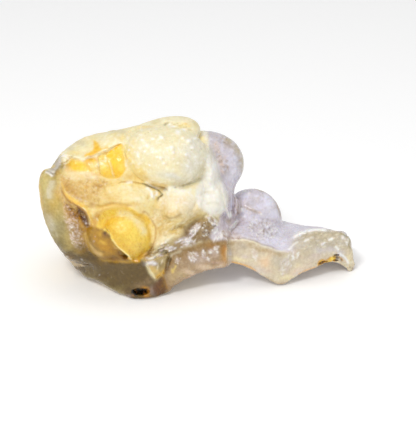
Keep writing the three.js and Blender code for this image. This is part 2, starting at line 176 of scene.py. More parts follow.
WHITE = shade(252, 251, 247)
PEARL = shade(228, 225, 212)
BONE = shade(240, 231, 208)
MILK = shade(239, 230, 193)
IVORY = shade(247, 240, 210)
CREAM = shade(243, 230, 182)
ECRU = shade(226, 213, 168)
BUTTER = shade(241, 217, 138)
SUN = shade(250, 224, 108)
STRAW = shade(226, 192, 112)
GOLD = shade(248, 206, 58)
MARIGOLD = shade(240, 192, 62)
HONEY = shade(230, 187, 64)
AMBER = shade(206, 148, 14)
TANGERINE = shade(236, 176, 72)
OCHRE = shade(132, 94, 2)
BRONZE = shade(150, 114, 26)
SAND = shade(222, 188, 110)
TOFFEE = shade(184, 134, 58)
RUST = shade(168, 104, 40)
UMBER = shade(92, 58, 22)
# near-black, painted as shade in holes, hollows and pits
HOLLOW_SHADE = shade(6, 4, 2)
MOSS = shade(196, 174, 104)
WILLOW = shade(204, 188, 124)
LICHEN = shade(162, 148, 102)
FERN = shade(128, 112, 62)
OLIVE = shade(102, 80, 30)
MUD = shade(94, 73, 25)
KHAKI = shade(190, 164, 102)
STONE = shade(204, 194, 164)
CLAY = shade(172, 144, 108)
BEIGE = shade(216, 200, 174)
TAUPE = shade(152, 126, 90)
PEACH = shade(236, 205, 170)
APRICOT = shade(236, 204, 140)
ROSE = shade(198, 166, 144)
PINKISH = shade(216, 200, 196)
LILAC = shade(208, 202, 212)
HEATHER = shade(194, 187, 192)
LAVENDER = shade(216, 210, 220)
FROST = shade(232, 229, 242)
MAUVE = shade(200, 184, 188)

# ---- features on the picture plane ---------------------------------------------------------------

CELL = 0.2  # mm
PLANE_LOW = np.array((-54.0, -28.0))
PLANE_HIGH = np.array((48.0, 34.0))
CELLS = tuple(np.round((PLANE_HIGH - PLANE_LOW) / CELL).astype(int))
PLANE = np.stack(
    np.meshgrid(*(PLANE_LOW[i] + CELL * np.arange(CELLS[i]) for i in (0, 1)), indexing="ij"), -1
).reshape(-1, 2)
RELIEF = np.zeros(len(PLANE))
TINT = np.where(PLANE[:, :1] < 4.0, CREAM, LILAC)
MARKS = {name: np.zeros(len(PLANE)) for name in ("frost", "specks", "grain", "gloss")}


def ramp(value, low, high):
    """0 below low and 1 above high, smooth between them."""
    part = np.clip((value - low) / (high - low), 0.0, 1.0)
    return part * part * (3.0 - 2.0 * part)


def mix(a, b, part):
    return a + (b - a) * part


NOISE_CELLS = 32


def noise(points, size, seed):
    """Smooth noise from -1 to 1 with features of one size, at points in two or three dimensions."""
    scaled = np.asarray(points, float) / size
    dimensions = scaled.shape[1]
    lattice = np.random.default_rng(seed).uniform(-1.0, 1.0, (NOISE_CELLS,) * dimensions)
    cell = np.floor(scaled).astype(int)
    part = ramp(scaled - cell, 0.0, 1.0)
    total = np.zeros(len(scaled))
    for corner in itertools.product((0, 1), repeat=dimensions):
        weight = np.prod(np.where(corner, part, 1.0 - part), axis=1)
        total += weight * lattice[tuple(((cell + corner) % NOISE_CELLS).T)]
    return total


def clouds(points, size, seed, octaves=3):
    """Noise with finer noise on it."""
    layers = [noise(points, size / 2**k, seed + k) / 2**k for k in range(octaves)]
    return sum(layers) / (2.0 - 2.0 ** (1 - octaves))


def smooth_line(spots, closed=False, steps=6):
    """A Catmull-Rom curve through pixels of the picture, as points of the plane."""
    knots = np.array([spot(*s) for s in spots])
    count = len(knots)
    if closed:
        padded = np.vstack([knots[-1:], knots, knots[:2]])
    else:
        padded = np.vstack([2 * knots[:1] - knots[1:2], knots, 2 * knots[-1:] - knots[-2:-1]])
    points = []
    for i in range(count if closed else count - 1):
        p0, p1, p2, p3 = padded[i : i + 4]
        for t in np.arange(steps) / steps:
            square = (2 * p0 - 5 * p1 + 4 * p2 - p3) * t * t
            cube = (p3 - p0 + 3 * (p1 - p2)) * t**3
            points.append(0.5 * (2 * p1 + (p2 - p0) * t + square + cube))
    points.append(knots[0] if closed else knots[-1])
    return np.array(points)


def measure(line, reach):
    """The cells within reach of a line: their distance, side (1 at the left) and share of its length,
    and whether they are inside it."""
    low, high = line.min(0) - reach, line.max(0) + reach
    cells = np.flatnonzero(np.all((PLANE > low) & (PLANE < high), axis=1))
    place = PLANE[cells]
    steps = np.diff(line, axis=0)
    lengths = np.maximum(np.linalg.norm(steps, axis=1), 1e-6)
    starts = np.concatenate([[0.0], np.cumsum(lengths)])
    nearest = np.full(len(cells), np.inf)
    side = np.ones(len(cells))
    share = np.zeros(len(cells))
    within = np.zeros(len(cells), bool)
    for start, step, length, run in zip(line[:-1], steps, lengths, starts):
        off = place - start
        t = np.clip(off @ step / length**2, 0.0, 1.0)
        gap = np.linalg.norm(off - t[:, None] * step, axis=1)
        closer = gap < nearest
        nearest = np.where(closer, gap, nearest)
        side = np.where(closer, np.sign(step[0] * off[:, 1] - step[1] * off[:, 0]), side)
        share = np.where(closer, (run + t * length) / starts[-1], share)
        crosses = (start[1] > place[:, 1]) != (start[1] + step[1] > place[:, 1])
        rise = step[1] if step[1] else 1e-9
        within ^= crosses & (off[:, 0] < step[0] * off[:, 1] / rise)
    return cells, nearest, side, share, within


def ends(share, taper):
    """Fades a line out over a share of its length at each end."""
    return ramp(share, 0.0, taper) * ramp(1.0 - share, 0.0, taper) if taper else 1.0


# Each of these gives a mask: the cells that a feature covers, and how much of it each one has.


def inside(outline, blur=0.5):
    cells, gap, _, _, within = measure(smooth_line(outline, closed=True), 3 * blur + 1)
    return cells, ramp(np.where(within, gap, -gap), -blur, blur)


def along(line, width, taper=0.15):
    cells, gap, _, share, _ = measure(smooth_line(line), 3 * width)
    return cells, np.exp(-((gap / width) ** 2)) * ends(share, taper)


def beside(line, fade, edge=0.35, taper=0.12):
    """The left side of a line, as it runs: full at the line, and fading away from it."""
    cells, gap, side, share, _ = measure(smooth_line(line), 4 * fade)
    offset = gap * side
    return cells, ramp(offset, -edge, edge) * np.exp(-np.maximum(offset, 0) / fade) * ends(share, taper)


SPOT_REACH = 2.0  # radii, past which a soft spot has faded away
SPOT_FALL = 1.2  # how fast it fades


def oval(centre, wide, high, lean):
    """A soft oval spot round a point of the plane, by its radii in pixels."""
    reach = SPOT_REACH * max(wide, high) / PX_PER_MM
    cells = np.flatnonzero(np.all(np.abs(PLANE - centre) < reach, axis=1))
    turn = math.radians(lean)
    off = (PLANE[cells] - centre) * PX_PER_MM
    u = (off[:, 0] * math.cos(turn) - off[:, 1] * math.sin(turn)) / wide
    v = (off[:, 0] * math.sin(turn) + off[:, 1] * math.cos(turn)) / high
    return cells, np.exp(-SPOT_FALL * (u * u + v * v))


def around(x, y, wide, high=None, lean=0.0):
    """A soft oval spot round a pixel."""
    return oval(spot(x, y), wide, high or wide, lean)


CLOUD_HEIGHT = 0.9  # the most that clouds() comes to


def patchy(mask, size, seed, share=0.5, blur=0.25):
    """The mask, broken up into blots that cover a share of it."""
    cells, value = mask
    level = CLOUD_HEIGHT * (1.0 - 2.0 * share)
    return cells, value * ramp(clouds(PLANE[cells], size, seed), level - blur, level + blur)


def lift(mask, height):
    RELIEF[mask[0]] += height * mask[1]


def paint(mask, colour, amount=1.0):
    cells, value = mask
    TINT[cells] = mix(TINT[cells], colour, amount * value[:, None])


def mark(mask, amount=1.0, **levels):
    """Brings layers of MARKS, such as grain=0.4, to a level where the mask is."""
    cells, value = mask
    for layer, level in levels.items():
        MARKS[layer][cells] = mix(MARKS[layer][cells], level, amount * value)


def read(layer, plane):
    """The value of a layer at places of the plane."""
    grid = layer.reshape(CELLS + layer.shape[1:])
    at = np.clip((plane - PLANE_LOW) / CELL, 0.0, np.array(CELLS) - 1.001)
    i, j = at.astype(int).T
    u, v = (at - np.floor(at)).T
    if layer.ndim > 1:
        u, v = u[:, None], v[:, None]
    return mix(mix(grid[i, j], grid[i + 1, j], u), mix(grid[i, j + 1], grid[i + 1, j + 1], u), v)


# ---- features, region by region: outlines and lines are pixels of the picture --------------------

RIDGE_LIP = [
    (60.5, 151.6), (65, 154.2), (72, 156.6), (78, 158.3), (83.6, 160), (87, 157.6), (91, 156),
    (97.9, 153.4), (106.4, 149.9), (115, 145.2), (120, 143.4), (123.6, 141.8),
]
GOLD_RIGHT = [
    (106.8, 153), (109.5, 149.5), (113.4, 146.6), (120.7, 143.8), (124.4, 149.5), (126, 156),
    (126.6, 163), (126.4, 169), (121.5, 174.5), (115.4, 178), (113, 173.4), (109.5, 164),
    (106.6, 157),
]
GOLD_MIDDLE = [
    (98.4, 156), (106, 154), (109, 163.6), (112.6, 173.6), (114.2, 178), (105, 177.2),
    (100.2, 173), (99, 165),
]
DISH = [
    (68, 159), (76, 160.4), (84, 161.6), (88, 165), (91, 170.5), (87, 172.6), (79, 171.4),
    (72, 169), (67.6, 164),
]
DISH_RIM = [(84, 160), (88.6, 166), (91, 171.5)]
LEFT_LIP = [
    (60.7, 185), (64.7, 193.6), (68, 198.8), (73.3, 202.8), (78.5, 206.3), (83.6, 209.7),
    (86.5, 213.7), (88.8, 219), (91.7, 224.6), (93.4, 228),
]
LEFT_LIP_CREST = [
    (62, 184.5), (66, 193), (69.5, 197.5), (74.5, 201.3), (80, 205), (85, 208.7), (88, 213),
    (90.5, 219), (93, 224.5),
]
BROWN_CAVITY = [
    (76.6, 206.6), (80, 208.8), (84, 212.4), (86.4, 216), (89, 222), (91.4, 227), (87.5, 227.6),
    (84.2, 223.6), (81.2, 219), (78.4, 213),
]
ARC = [
    (91, 220), (92.5, 215), (95, 211.8), (99, 210.4), (104.7, 209.2), (111.6, 207.5), (119.6, 207),
    (126.5, 208), (133.4, 209.8), (139, 212.6), (145, 215.5),
]
VALLEY = [(96, 205.5), (101.8, 206.5), (110, 203.8), (119, 203.6), (126, 205.8), (134, 206.5)]
DOME_SHADOW = [
    (148, 217), (152.5, 222.5), (155.3, 231), (155, 240), (152.5, 248), (147.5, 254.5), (143, 259),
]
SEAM = [
    (117, 184.5), (123, 181.6), (129.3, 180.8), (135, 182), (140.7, 183.4), (146.4, 185.6),
    (150, 187), (153.6, 188), (157, 190), (159.6, 192.2), (161.4, 194.4), (160, 196.6),
    (158, 198.4), (157.6, 202),
]
DOME_OUTLINE = [
    (95, 214), (100, 226), (103.5, 229), (107, 230.4), (110, 234), (111.3, 238.5), (115, 243.6),
    (119.6, 248.8), (124.8, 252.8), (128.8, 255.6), (129.6, 258), (133, 260), (140, 268),
    (165, 262), (170, 225), (150, 195), (110, 195),
]
DOME_EDGE = [
    (103, 229.3), (107, 230.4), (109.9, 233.9), (111, 238.5), (115, 243.6), (119.6, 248.8),
    (124.8, 252.8), (128.8, 255.4), (129.6, 258), (133.4, 260),
]
DOME_FACE = [
    (97, 226), (99, 218), (104, 212), (112, 208.5), (122, 207.5), (132, 209.5), (142, 214),
    (149, 219), (153, 227), (154, 236), (152, 246), (147.2, 252.3), (142.6, 256.9),
    (138.6, 259.7), (133.4, 260), (129, 256.5), (124.8, 253), (119.6, 249), (115, 243.8),
    (111, 238.7), (109.9, 234.1), (107, 230.6), (103, 229.5),
]
BALL_FACE = [
    (82.3, 227), (82.3, 233.3), (84.6, 242), (89.3, 249.6), (97.5, 256.4), (107, 261),
    (115, 263.2), (123, 263.4), (132, 262), (141, 260.4), (134, 258.5), (128, 255.5),
    (119.6, 249), (111, 238.7), (107, 230.6), (100.7, 228.7), (93.2, 226),
]
TONGUE = [
    (144.6, 260.4), (149, 261), (153.6, 259.6), (160, 257), (168, 253.6), (167.6, 258.6),
    (166.4, 263), (165, 268.6), (163.6, 273), (160, 275.6), (157.9, 277), (155.7, 280),
    (151.6, 274.3), (148, 267.4),
]
DARK_HOLE = [
    (130.8, 290.6), (133.4, 289.6), (134.4, 290.6), (137.6, 288.8), (140, 290), (142.6, 288.4),
    (145.6, 289.6), (148.4, 288.6), (147.6, 291.6), (148.6, 293.4), (145, 294.6), (144, 296.4),
    (139.6, 295.4), (136, 296.6), (133.6, 294.4), (131.4, 293.6),
]
# the gap between the tongue and the block; the dark brown painted in it is painted shade
SHADED_GAP = [
    (156.6, 281), (161, 277), (163.6, 283), (166.5, 289.4), (162, 293.6), (156.6, 294.6),
    (154.4, 289),
]
KEEL_FACE = [
    (58, 247), (66, 251), (74, 254), (84, 255), (92, 250), (104, 252), (122, 256), (136, 257),
    (145, 262), (150, 274), (156, 281), (161, 277), (167, 290), (160, 299), (140, 303), (118, 301),
    (96, 289), (76, 280), (60, 262),
]
FROSTED = [
    (143, 262), (150, 252), (160, 246), (170, 240), (180, 236), (188, 228), (195, 222),
    (203, 216), (210, 214), (218, 220), (220, 232), (214, 240), (200, 243), (186, 248),
    (176, 254), (168, 262), (155, 266),
]
BLOCK_FACE = [
    (162, 277), (164, 266), (168, 258), (173, 254), (182, 250), (192, 247), (204, 243.6),
    (214, 241.4), (226, 240.6), (228, 250), (228.4, 268), (216, 272), (202, 276), (190, 281),
    (178, 288), (168, 294), (164, 285),
]
CRUST_FACE = [
    (227.6, 240), (233.7, 238.6), (243, 239.2), (252.8, 240.8), (260.5, 243.4), (267.5, 247),
    (278.3, 250.6), (287.3, 252.4), (294.3, 249.4), (305, 247), (318, 246), (334, 247),
    (352, 246), (358, 262), (357, 275), (345, 270), (320, 269), (300, 276), (286, 289),
    (270, 284), (250, 270), (228, 270),
]
PLATEAU = [
    (212, 238), (224, 238.5), (236, 237.5), (250, 239), (262, 242.5), (272, 247.5), (286, 251.5),
    (296, 246), (306, 238), (312, 231), (300, 226), (284, 221), (268, 218), (256, 213),
    (244, 206), (238, 212), (232, 224), (224, 229),
]
GREAT_BULB = [
    (123, 146), (126, 138), (131, 132.5), (141, 128), (155, 125), (172, 124), (188, 125),
    (199, 131), (206, 141), (208.5, 154), (206, 168), (198, 178), (184, 185), (168, 187),
    (154, 185), (143, 178), (133, 167), (126, 157),
]
REAR_LOBE = [
    (126, 136), (137, 126), (150, 119), (162, 114), (180, 113), (196, 119), (206, 131),
    (207, 142), (199, 131), (186, 124), (170, 123), (154, 126), (140, 129),
]
WHITE_RIGHT = [
    (208, 142), (211, 150), (215.5, 159), (217.5, 170), (223.5, 183), (228, 195), (229, 203),
    (226, 209), (221, 214), (212, 216), (204, 212), (198, 204), (196, 192), (199, 180), (206, 168),
]
TALL_BULB = [
    (203, 128), (214, 129), (226, 133), (237, 142), (243, 151), (246, 161), (244, 171),
    (240, 181), (237, 188), (230, 192), (224, 184), (218, 171), (216, 159), (209, 145),
]
NECK = [
    (224, 184), (232, 180), (240, 188), (243, 196), (243, 206), (240, 216), (235, 224),
    (228, 230), (220, 230), (219, 216), (226, 209), (229, 200), (227, 194),
]
ROUND_BULB = [
    (242, 188), (250, 186), (262, 188), (271, 194), (278, 202), (281, 211), (285, 224),
    (270, 221), (262, 217), (256, 216), (250, 211), (243, 207), (241, 197),
]
LEFT_LOBE = [
    (38, 172), (44, 168), (50, 172), (54, 160), (60, 155), (64, 166), (62, 180), (64.7, 193.6),
    (73.3, 202.8), (83.6, 209.7), (88.8, 219), (86, 236), (92, 250), (98, 258), (84, 258),
    (70, 252), (58, 256), (44, 228), (36, 200),
]
PURPLE_BAND = [
    (62, 186), (66, 196), (74, 204), (83, 211), (86, 220), (84, 230), (85, 240), (88, 250),
    (80, 252), (74, 240), (71, 228), (68, 214), (63, 202), (58, 190),
]
MIDDLE_LEFT = [
    (58, 172), (66, 176), (78, 177), (92, 177), (104, 180), (112, 186), (108, 196), (98, 203),
    (92, 208), (82, 206), (72, 200), (64, 190),
]
FIRST_FOLD = [
    (104, 190), (112, 184), (122, 182), (134, 185), (146, 188), (156, 192), (158, 203),
    (148, 210), (134, 206), (120, 203), (108, 203), (100, 199),
]
SECOND_FOLD = [
    (160, 196), (166, 189), (178, 186), (190, 186), (197, 194), (196, 206), (188, 214), (176, 218),
    (166, 213), (159, 205),
]


def dabs(colour, amount, *spots):
    for place in spots:
        paint(around(*place), colour, amount)


def strokes(colour, amount, width, *lines, taper=0.12):
    for line in lines:
        paint(along(line, width, taper), colour, amount)


def bumps(height, *spots):
    for place in spots:
        lift(around(*place), height)


def knobs(flatness, *spots):
    """Low rounds on the relief: x, y, radius and height for each."""
    for x, y, size, height in spots:
        lift(around(x, y, size, flatness * size), height)


def ribs(height, width, *lines, taper=0.15):
    for line in lines:
        lift(along(line, width, taper), height)


def chips(outline, count, seed, colour, amount, wide, high=None, height=0.0, lean=None):
    """Small chips strewn over an outline, leaning every way or mostly one way."""
    rng = np.random.default_rng(seed)
    cells, value = inside(outline, 0.2)
    places = PLANE[rng.choice(cells[value > 0.5], count)]
    turns = rng.uniform(-90.0, 90.0, count)
    if lean is not None:
        turns = lean + 0.2 * turns
    for place, turn, size in zip(places, turns, rng.uniform(0.5, 1.4, count)):
        mask = oval(place, wide * size, (high or wide) * size, turn)
        paint(mask, colour, amount)
        if height:
            lift(mask, height)


def crown():
    """The shell along the upper left, its broken lip, and the gold under it."""
    lift(beside(RIDGE_LIP, 3.5, 0.25, 0.1), 0.65)
    ribs(0.2, 0.3, RIDGE_LIP, taper=0.03)
    lift(inside(GOLD_RIGHT, 0.3), -0.45)
    lift(inside(GOLD_MIDDLE, 0.3), -0.6)
    bumps(0.35, (105, 169, 4, 6, -20), (101, 158, 3.5, 2.5, -30), (118, 161, 6, 8))
    bumps(1.1, (66, 161, 9, 6, 15))
    bumps(-0.4, (81, 167, 8, 4, 10), (91, 158, 4, 3))
    lift(beside(DISH_RIM, 1.5, 0.25, 0.2), 0.4)
    ribs(0.3, 0.4, [(61.5, 156.5), (61.2, 162), (60, 167)])
    ribs(0.25, 0.35, [(106.6, 155), (109.5, 163.5), (112.8, 173.4), (114.4, 178)])
    ribs(0.3, 0.35, [(124.3, 149), (127, 156), (130.5, 160.5), (134, 164)])

    shell = [(58, 150), (66, 145), (78, 138), (96, 131), (122, 122), (142, 122), (126, 136), (122, 145),
             (107, 151), (86, 160), (70, 159)]
    paint(inside(shell, 1.0), mix(ECRU, CREAM, 0.3))
    paint(patchy(inside(shell, 0.6), 3, 31, 0.45), BUTTER, 0.3)
    chips(shell, 70, 32, IVORY, 0.5, 2.2, 0.9, 0.06, -20)
    dabs(STONE, 0.55, (71, 148, 9, 4, 25), (80, 143, 8, 3, 25), (123, 132, 5, 3, 20), (113, 132, 6, 2, -15))
    dabs(CREAM, 0.8, (112, 143, 6, 4, 25), (84, 150, 7, 3, -10))
    dabs(BUTTER, 0.7, (75, 152.5, 6, 2, 15), (108, 146, 5, 2.4, -25), (122, 138, 2.5, 5, 30))
    strokes(IVORY, 0.7, 0.4, [(103.6, 146), (106, 142), (109.3, 139.5)], [(114, 138), (119, 142), (121, 146)],
            [(107, 146.5), (113, 144), (119, 141.3)])
    under = [(60, 154), (70, 158), (84, 161), (94, 155), (108, 151), (122, 145), (127, 160),
             (123, 175), (112, 179), (98, 177), (84, 178), (68, 176), (60, 168)]
    paint(inside(under, 0.8), APRICOT)
    paint(inside(DISH, 0.8), mix(GOLD, SUN, 0.25), 0.95)
    dabs(GOLD, 0.6, (85, 167.5, 4.5, 4, 20))
    dabs(IVORY, 0.95, (65, 160, 5, 4.5, 20))
    chips([(61, 156), (69, 157), (71, 165), (65, 169), (60.5, 163)], 12, 81, WHITE, 0.9, 1.6, 0.7, 0.12)
    dabs(BEIGE, 0.35, (68, 163, 2, 4, 20))
    paint(inside([(90, 161), (93.5, 160), (98, 163.4), (97.4, 170), (96.4, 174.4), (91.6, 171.5)], 0.3),
          BUTTER, 0.9)
    chips([(90, 161), (98, 163), (97, 174), (91, 171)], 9, 82, IVORY, 0.8, 1.5, 0.7, 0.1, 70)
    dabs(IVORY, 0.8, (70, 174, 8, 3), (84, 174, 6, 2.5))
    paint(inside(GOLD_MIDDLE, 0.3), mix(SUN, BUTTER, 0.5), 0.95)
    chips([(98.5, 156.5), (106, 155), (109, 164), (104, 168), (100, 165)], 16, 30, IVORY, 0.85, 1.5, 0.7,
          0.12)
    dabs(GOLD, 0.9, (106, 173.5, 7, 4, 0), (110.5, 169, 2, 6, -20))
    dabs(SUN, 0.7, (105, 170.5, 3.5, 3))
    paint(inside(GOLD_RIGHT, 0.25), GOLD)
    dabs(SUN, 0.6, (112.5, 151, 3, 3, -30), (119, 149, 2.4, 4), (121, 166, 4, 4))
    chips(GOLD_RIGHT, 14, 33, SUN, 0.5, 1.5, 0.7, 0.06)
    dabs(MARIGOLD, 0.6, (117, 157, 4, 6, -20), (123.5, 158, 1.6, 7), (117, 174, 4, 2.4, -20))
    dabs(IVORY, 0.7, (113, 149.6, 0.9), (118, 148.2, 0.9))
    strokes(CREAM, 0.7, 0.3, [(106.8, 155), (109.5, 163), (112.6, 172), (114.6, 177.6)])
    strokes(MARIGOLD, 0.6, 0.25, [(107.5, 154.6), (110.3, 162.6), (113.4, 171.5)],
            [(98, 151.8), (103, 149.6), (108, 147.4)])
    stain = [(92.9, 139.9), (96, 141.2), (98.5, 144.5), (101, 149), (104.6, 152.4), (99.5, 151.8), (94, 154),
             (86, 157.6), (84.6, 155.4), (89, 152), (93, 149.5), (94, 145)]
    paint(inside(stain, 0.35), MARIGOLD, 0.95)
    dabs(mix(AMBER, GOLD, 0.5), 0.8, (97, 148.6, 2.6, 3), (88.5, 155.4, 3.6, 1.5, -20), (94.5, 143, 1, 2.4))
    # painted shade: deeper orange under the lip's overhang
    dabs(mix(AMBER, GOLD, 0.3), 0.95, (90, 159.3, 3.8, 2.6, 10), (105.4, 152.2, 2.6, 1.1, -20))
    dabs(MARIGOLD, 0.9, (93, 161, 3, 3), (87, 160.6, 3, 1.8))
    # the lip's pale rim, brightened as a painted highlight
    strokes(IVORY, 0.9, 0.3, RIDGE_LIP, [(60.7, 155), (61.5, 162), (64, 168.5)], taper=0.03)
    # painted highlight along the right rim of the gold pocket
    strokes(WHITE, 0.9, 0.4, [(124.2, 148.6), (127, 156), (130.5, 160.5), (135, 165)],
            [(126.8, 160), (127.4, 167)])
    mark(inside(under, 1.0), grain=0.3, gloss=0.9)


def great_bulb():
    """The cream bulb: its crease, chip, pitted streak and pimples, with painted highlights and shade."""
    ribs(-0.45, 0.45, [(123.5, 143), (126, 137.5), (130, 132.5), (136, 129.3), (142, 128), (150, 127.2),
                       (158, 127.8), (165, 129)])
    bumps(-0.8, (166.5, 124, 3.5, 2.2, -10))
    paint(inside(REAR_LOBE, 1.0), ECRU)
    paint(patchy(inside(REAR_LOBE, 1.0), 2.5, 34, 0.5), IVORY, 0.6)
    paint(inside(GREAT_BULB, 0.8), mix(MILK, CREAM, 0.4))
    dabs(BUTTER, 0.65, (130, 152, 5, 16, 10), (142, 171, 11, 6, -35))
    # painted shade: greyer towards the lower right, away from the light
    dabs(mix(PEARL, STONE, 0.25), 0.95, (191, 162, 12, 16), (172, 177, 15, 5, 15))
    dabs(PEARL, 0.7, (194, 143, 7, 10), (186, 150, 8, 8))
    # painted light: paler where light falls most
    dabs(IVORY, 0.5, (170, 148, 18, 11), (147, 146, 8, 8))
    dabs(ECRU, 0.45, (148, 158, 16, 14), (165, 138, 20, 9), (180, 160, 14, 12))
    strokes(BUTTER, 0.8, 1.1, [(125.5, 141), (125, 149), (129, 159), (138, 170.5), (147, 178.5)])
    strokes(STRAW, 0.6, 0.8, [(138, 171.5), (148, 180), (160, 185), (170, 186)])
    # painted shade along the lower right edge
    strokes(STONE, 0.7, 1.2, [(168, 186), (182, 184), (195, 178), (204, 168), (208, 154), (207, 145)])
    chips(GREAT_BULB, 240, 35, WHITE, 0.45, 1.3, 0.7)
    chips(GREAT_BULB, 160, 36, STONE, 0.22, 1.2, 0.6)
    for x, y, size, height in [
        (141.5, 141, 3.2, 0.5), (147, 145.5, 3.4, 0.5), (145, 151, 2.6, 0.35), (137, 156, 2.4, 0.2),
        (161, 137, 3.8, 0.4), (179, 132.5, 5, 0.4), (189, 141, 3.6, 0.45), (184, 138, 2.4, 0.3),
        (196, 139, 2.4, 0.3), (193, 148, 2.4, 0.25), (171, 148.5, 3.2, 0.5), (173, 153, 2, 0.3),
        (160.5, 158.5, 3.4, 0.45), (156.5, 158, 2.2, 0.35), (165, 163, 2.4, 0.3), (168, 169, 2, 0.25),
        (186, 155, 3.2, 0.35), (196, 158, 3, 0.25), (188, 166, 3, 0.2), (178, 163, 2.4, 0.2),
        (153, 152, 2, 0.2), (150, 166, 2.2, 0.15), (130, 150, 2.2, 0.15), (153, 139, 2.6, 0.2),
    ]:
        lift(around(x, y, size), height)
        # painted highlight: a white spot on each pimple, offset up and left towards the key light
        paint(around(x - 0.3, y - 0.5, 0.55 * size, 0.45 * size), WHITE, 0.95)
        mark(around(x, y, 0.8 * size), gloss=1.0)
    dabs(STONE, 0.3, (144, 148.5, 1.8, 0.8), (150, 149, 1.2), (163, 141.5, 2, 0.8), (175, 137, 2, 0.8),
         (174, 150, 0.9, 1.8), (163.5, 160, 0.9, 1.8), (181, 148, 1.4), (192, 143, 0.9, 2),
         (188, 158.5, 2, 0.8))
    for k in range(9):  # a row of pits beside the crease
        x, y = 172.5 + 2.3 * k, 123.4 + 0.096 * k * k + 1.3 * (k % 2)
        lift(around(x, y, 1.2, 0.9), -0.3)
        paint(around(x, y, 0.9, 0.55, 25), KHAKI, 0.9)
    dabs(BUTTER, 0.6, (181, 126, 8, 2.6, -15))
    dabs(MARIGOLD, 0.5, (185, 124, 3, 1), (189, 126, 2, 0.9))
    # painted shade in the chip's small hollow
    dabs(STONE, 0.9, (165.5, 123.6, 3, 1.6, -25))
    dabs(FERN, 0.4, (164.5, 124.8, 1.6, 0.9, -35))
    dabs(WHITE, 0.95, (169.5, 124.6, 2, 1.6), (174, 127, 3, 1), (184, 129, 3, 1))
    for x, y in [(145.5, 133.8), (148.6, 132.4), (151.5, 131), (199, 141), (192, 150), (201, 150)]:
        lift(around(x, y, 1.0), -0.2)
        paint(around(x, y, 0.8, 0.6), KHAKI, 0.8)
    mark(inside(GREAT_BULB, 1.0), grain=0.4, gloss=0.35)


def white_right():
    """The white column and knob to the right of the bulb."""
    paint(inside(WHITE_RIGHT, 0.8), mix(WHITE, PEARL, 0.6), 0.95)
    chips(WHITE_RIGHT, 110, 37, BONE, 0.45, 1.6, 0.8, 0.0, 60)
    chips(WHITE_RIGHT, 60, 83, WHITE, 0.6, 1.6, 0.7, 0.05, 60)
    dabs(PEACH, 0.25, (212, 160, 2.5, 6))
    strokes(LILAC, 0.5, 0.6, [(210, 145), (213.5, 156), (217, 168), (223, 182), (227, 192)])
    strokes(STONE, 0.4, 0.35, [(209, 152), (211, 163), (205, 173)], [(200, 196), (206, 192), (212, 193)],
            [(205, 205), (213, 203), (220, 205)], [(214, 184), (219, 190), (224, 198)])
    dabs(PEARL, 0.7, (216, 210, 7, 4), (223, 202, 3, 8), (205, 176, 3, 5))
    bumps(0.25, (206, 186, 4), (213, 190, 4), (219, 194, 3.5), (208, 198, 4), (216, 202, 4))
    bumps(0.7, (200, 210, 5, 6), (212, 170, 5, 7))
    mark(inside(WHITE_RIGHT, 0.5), grain=0.5)


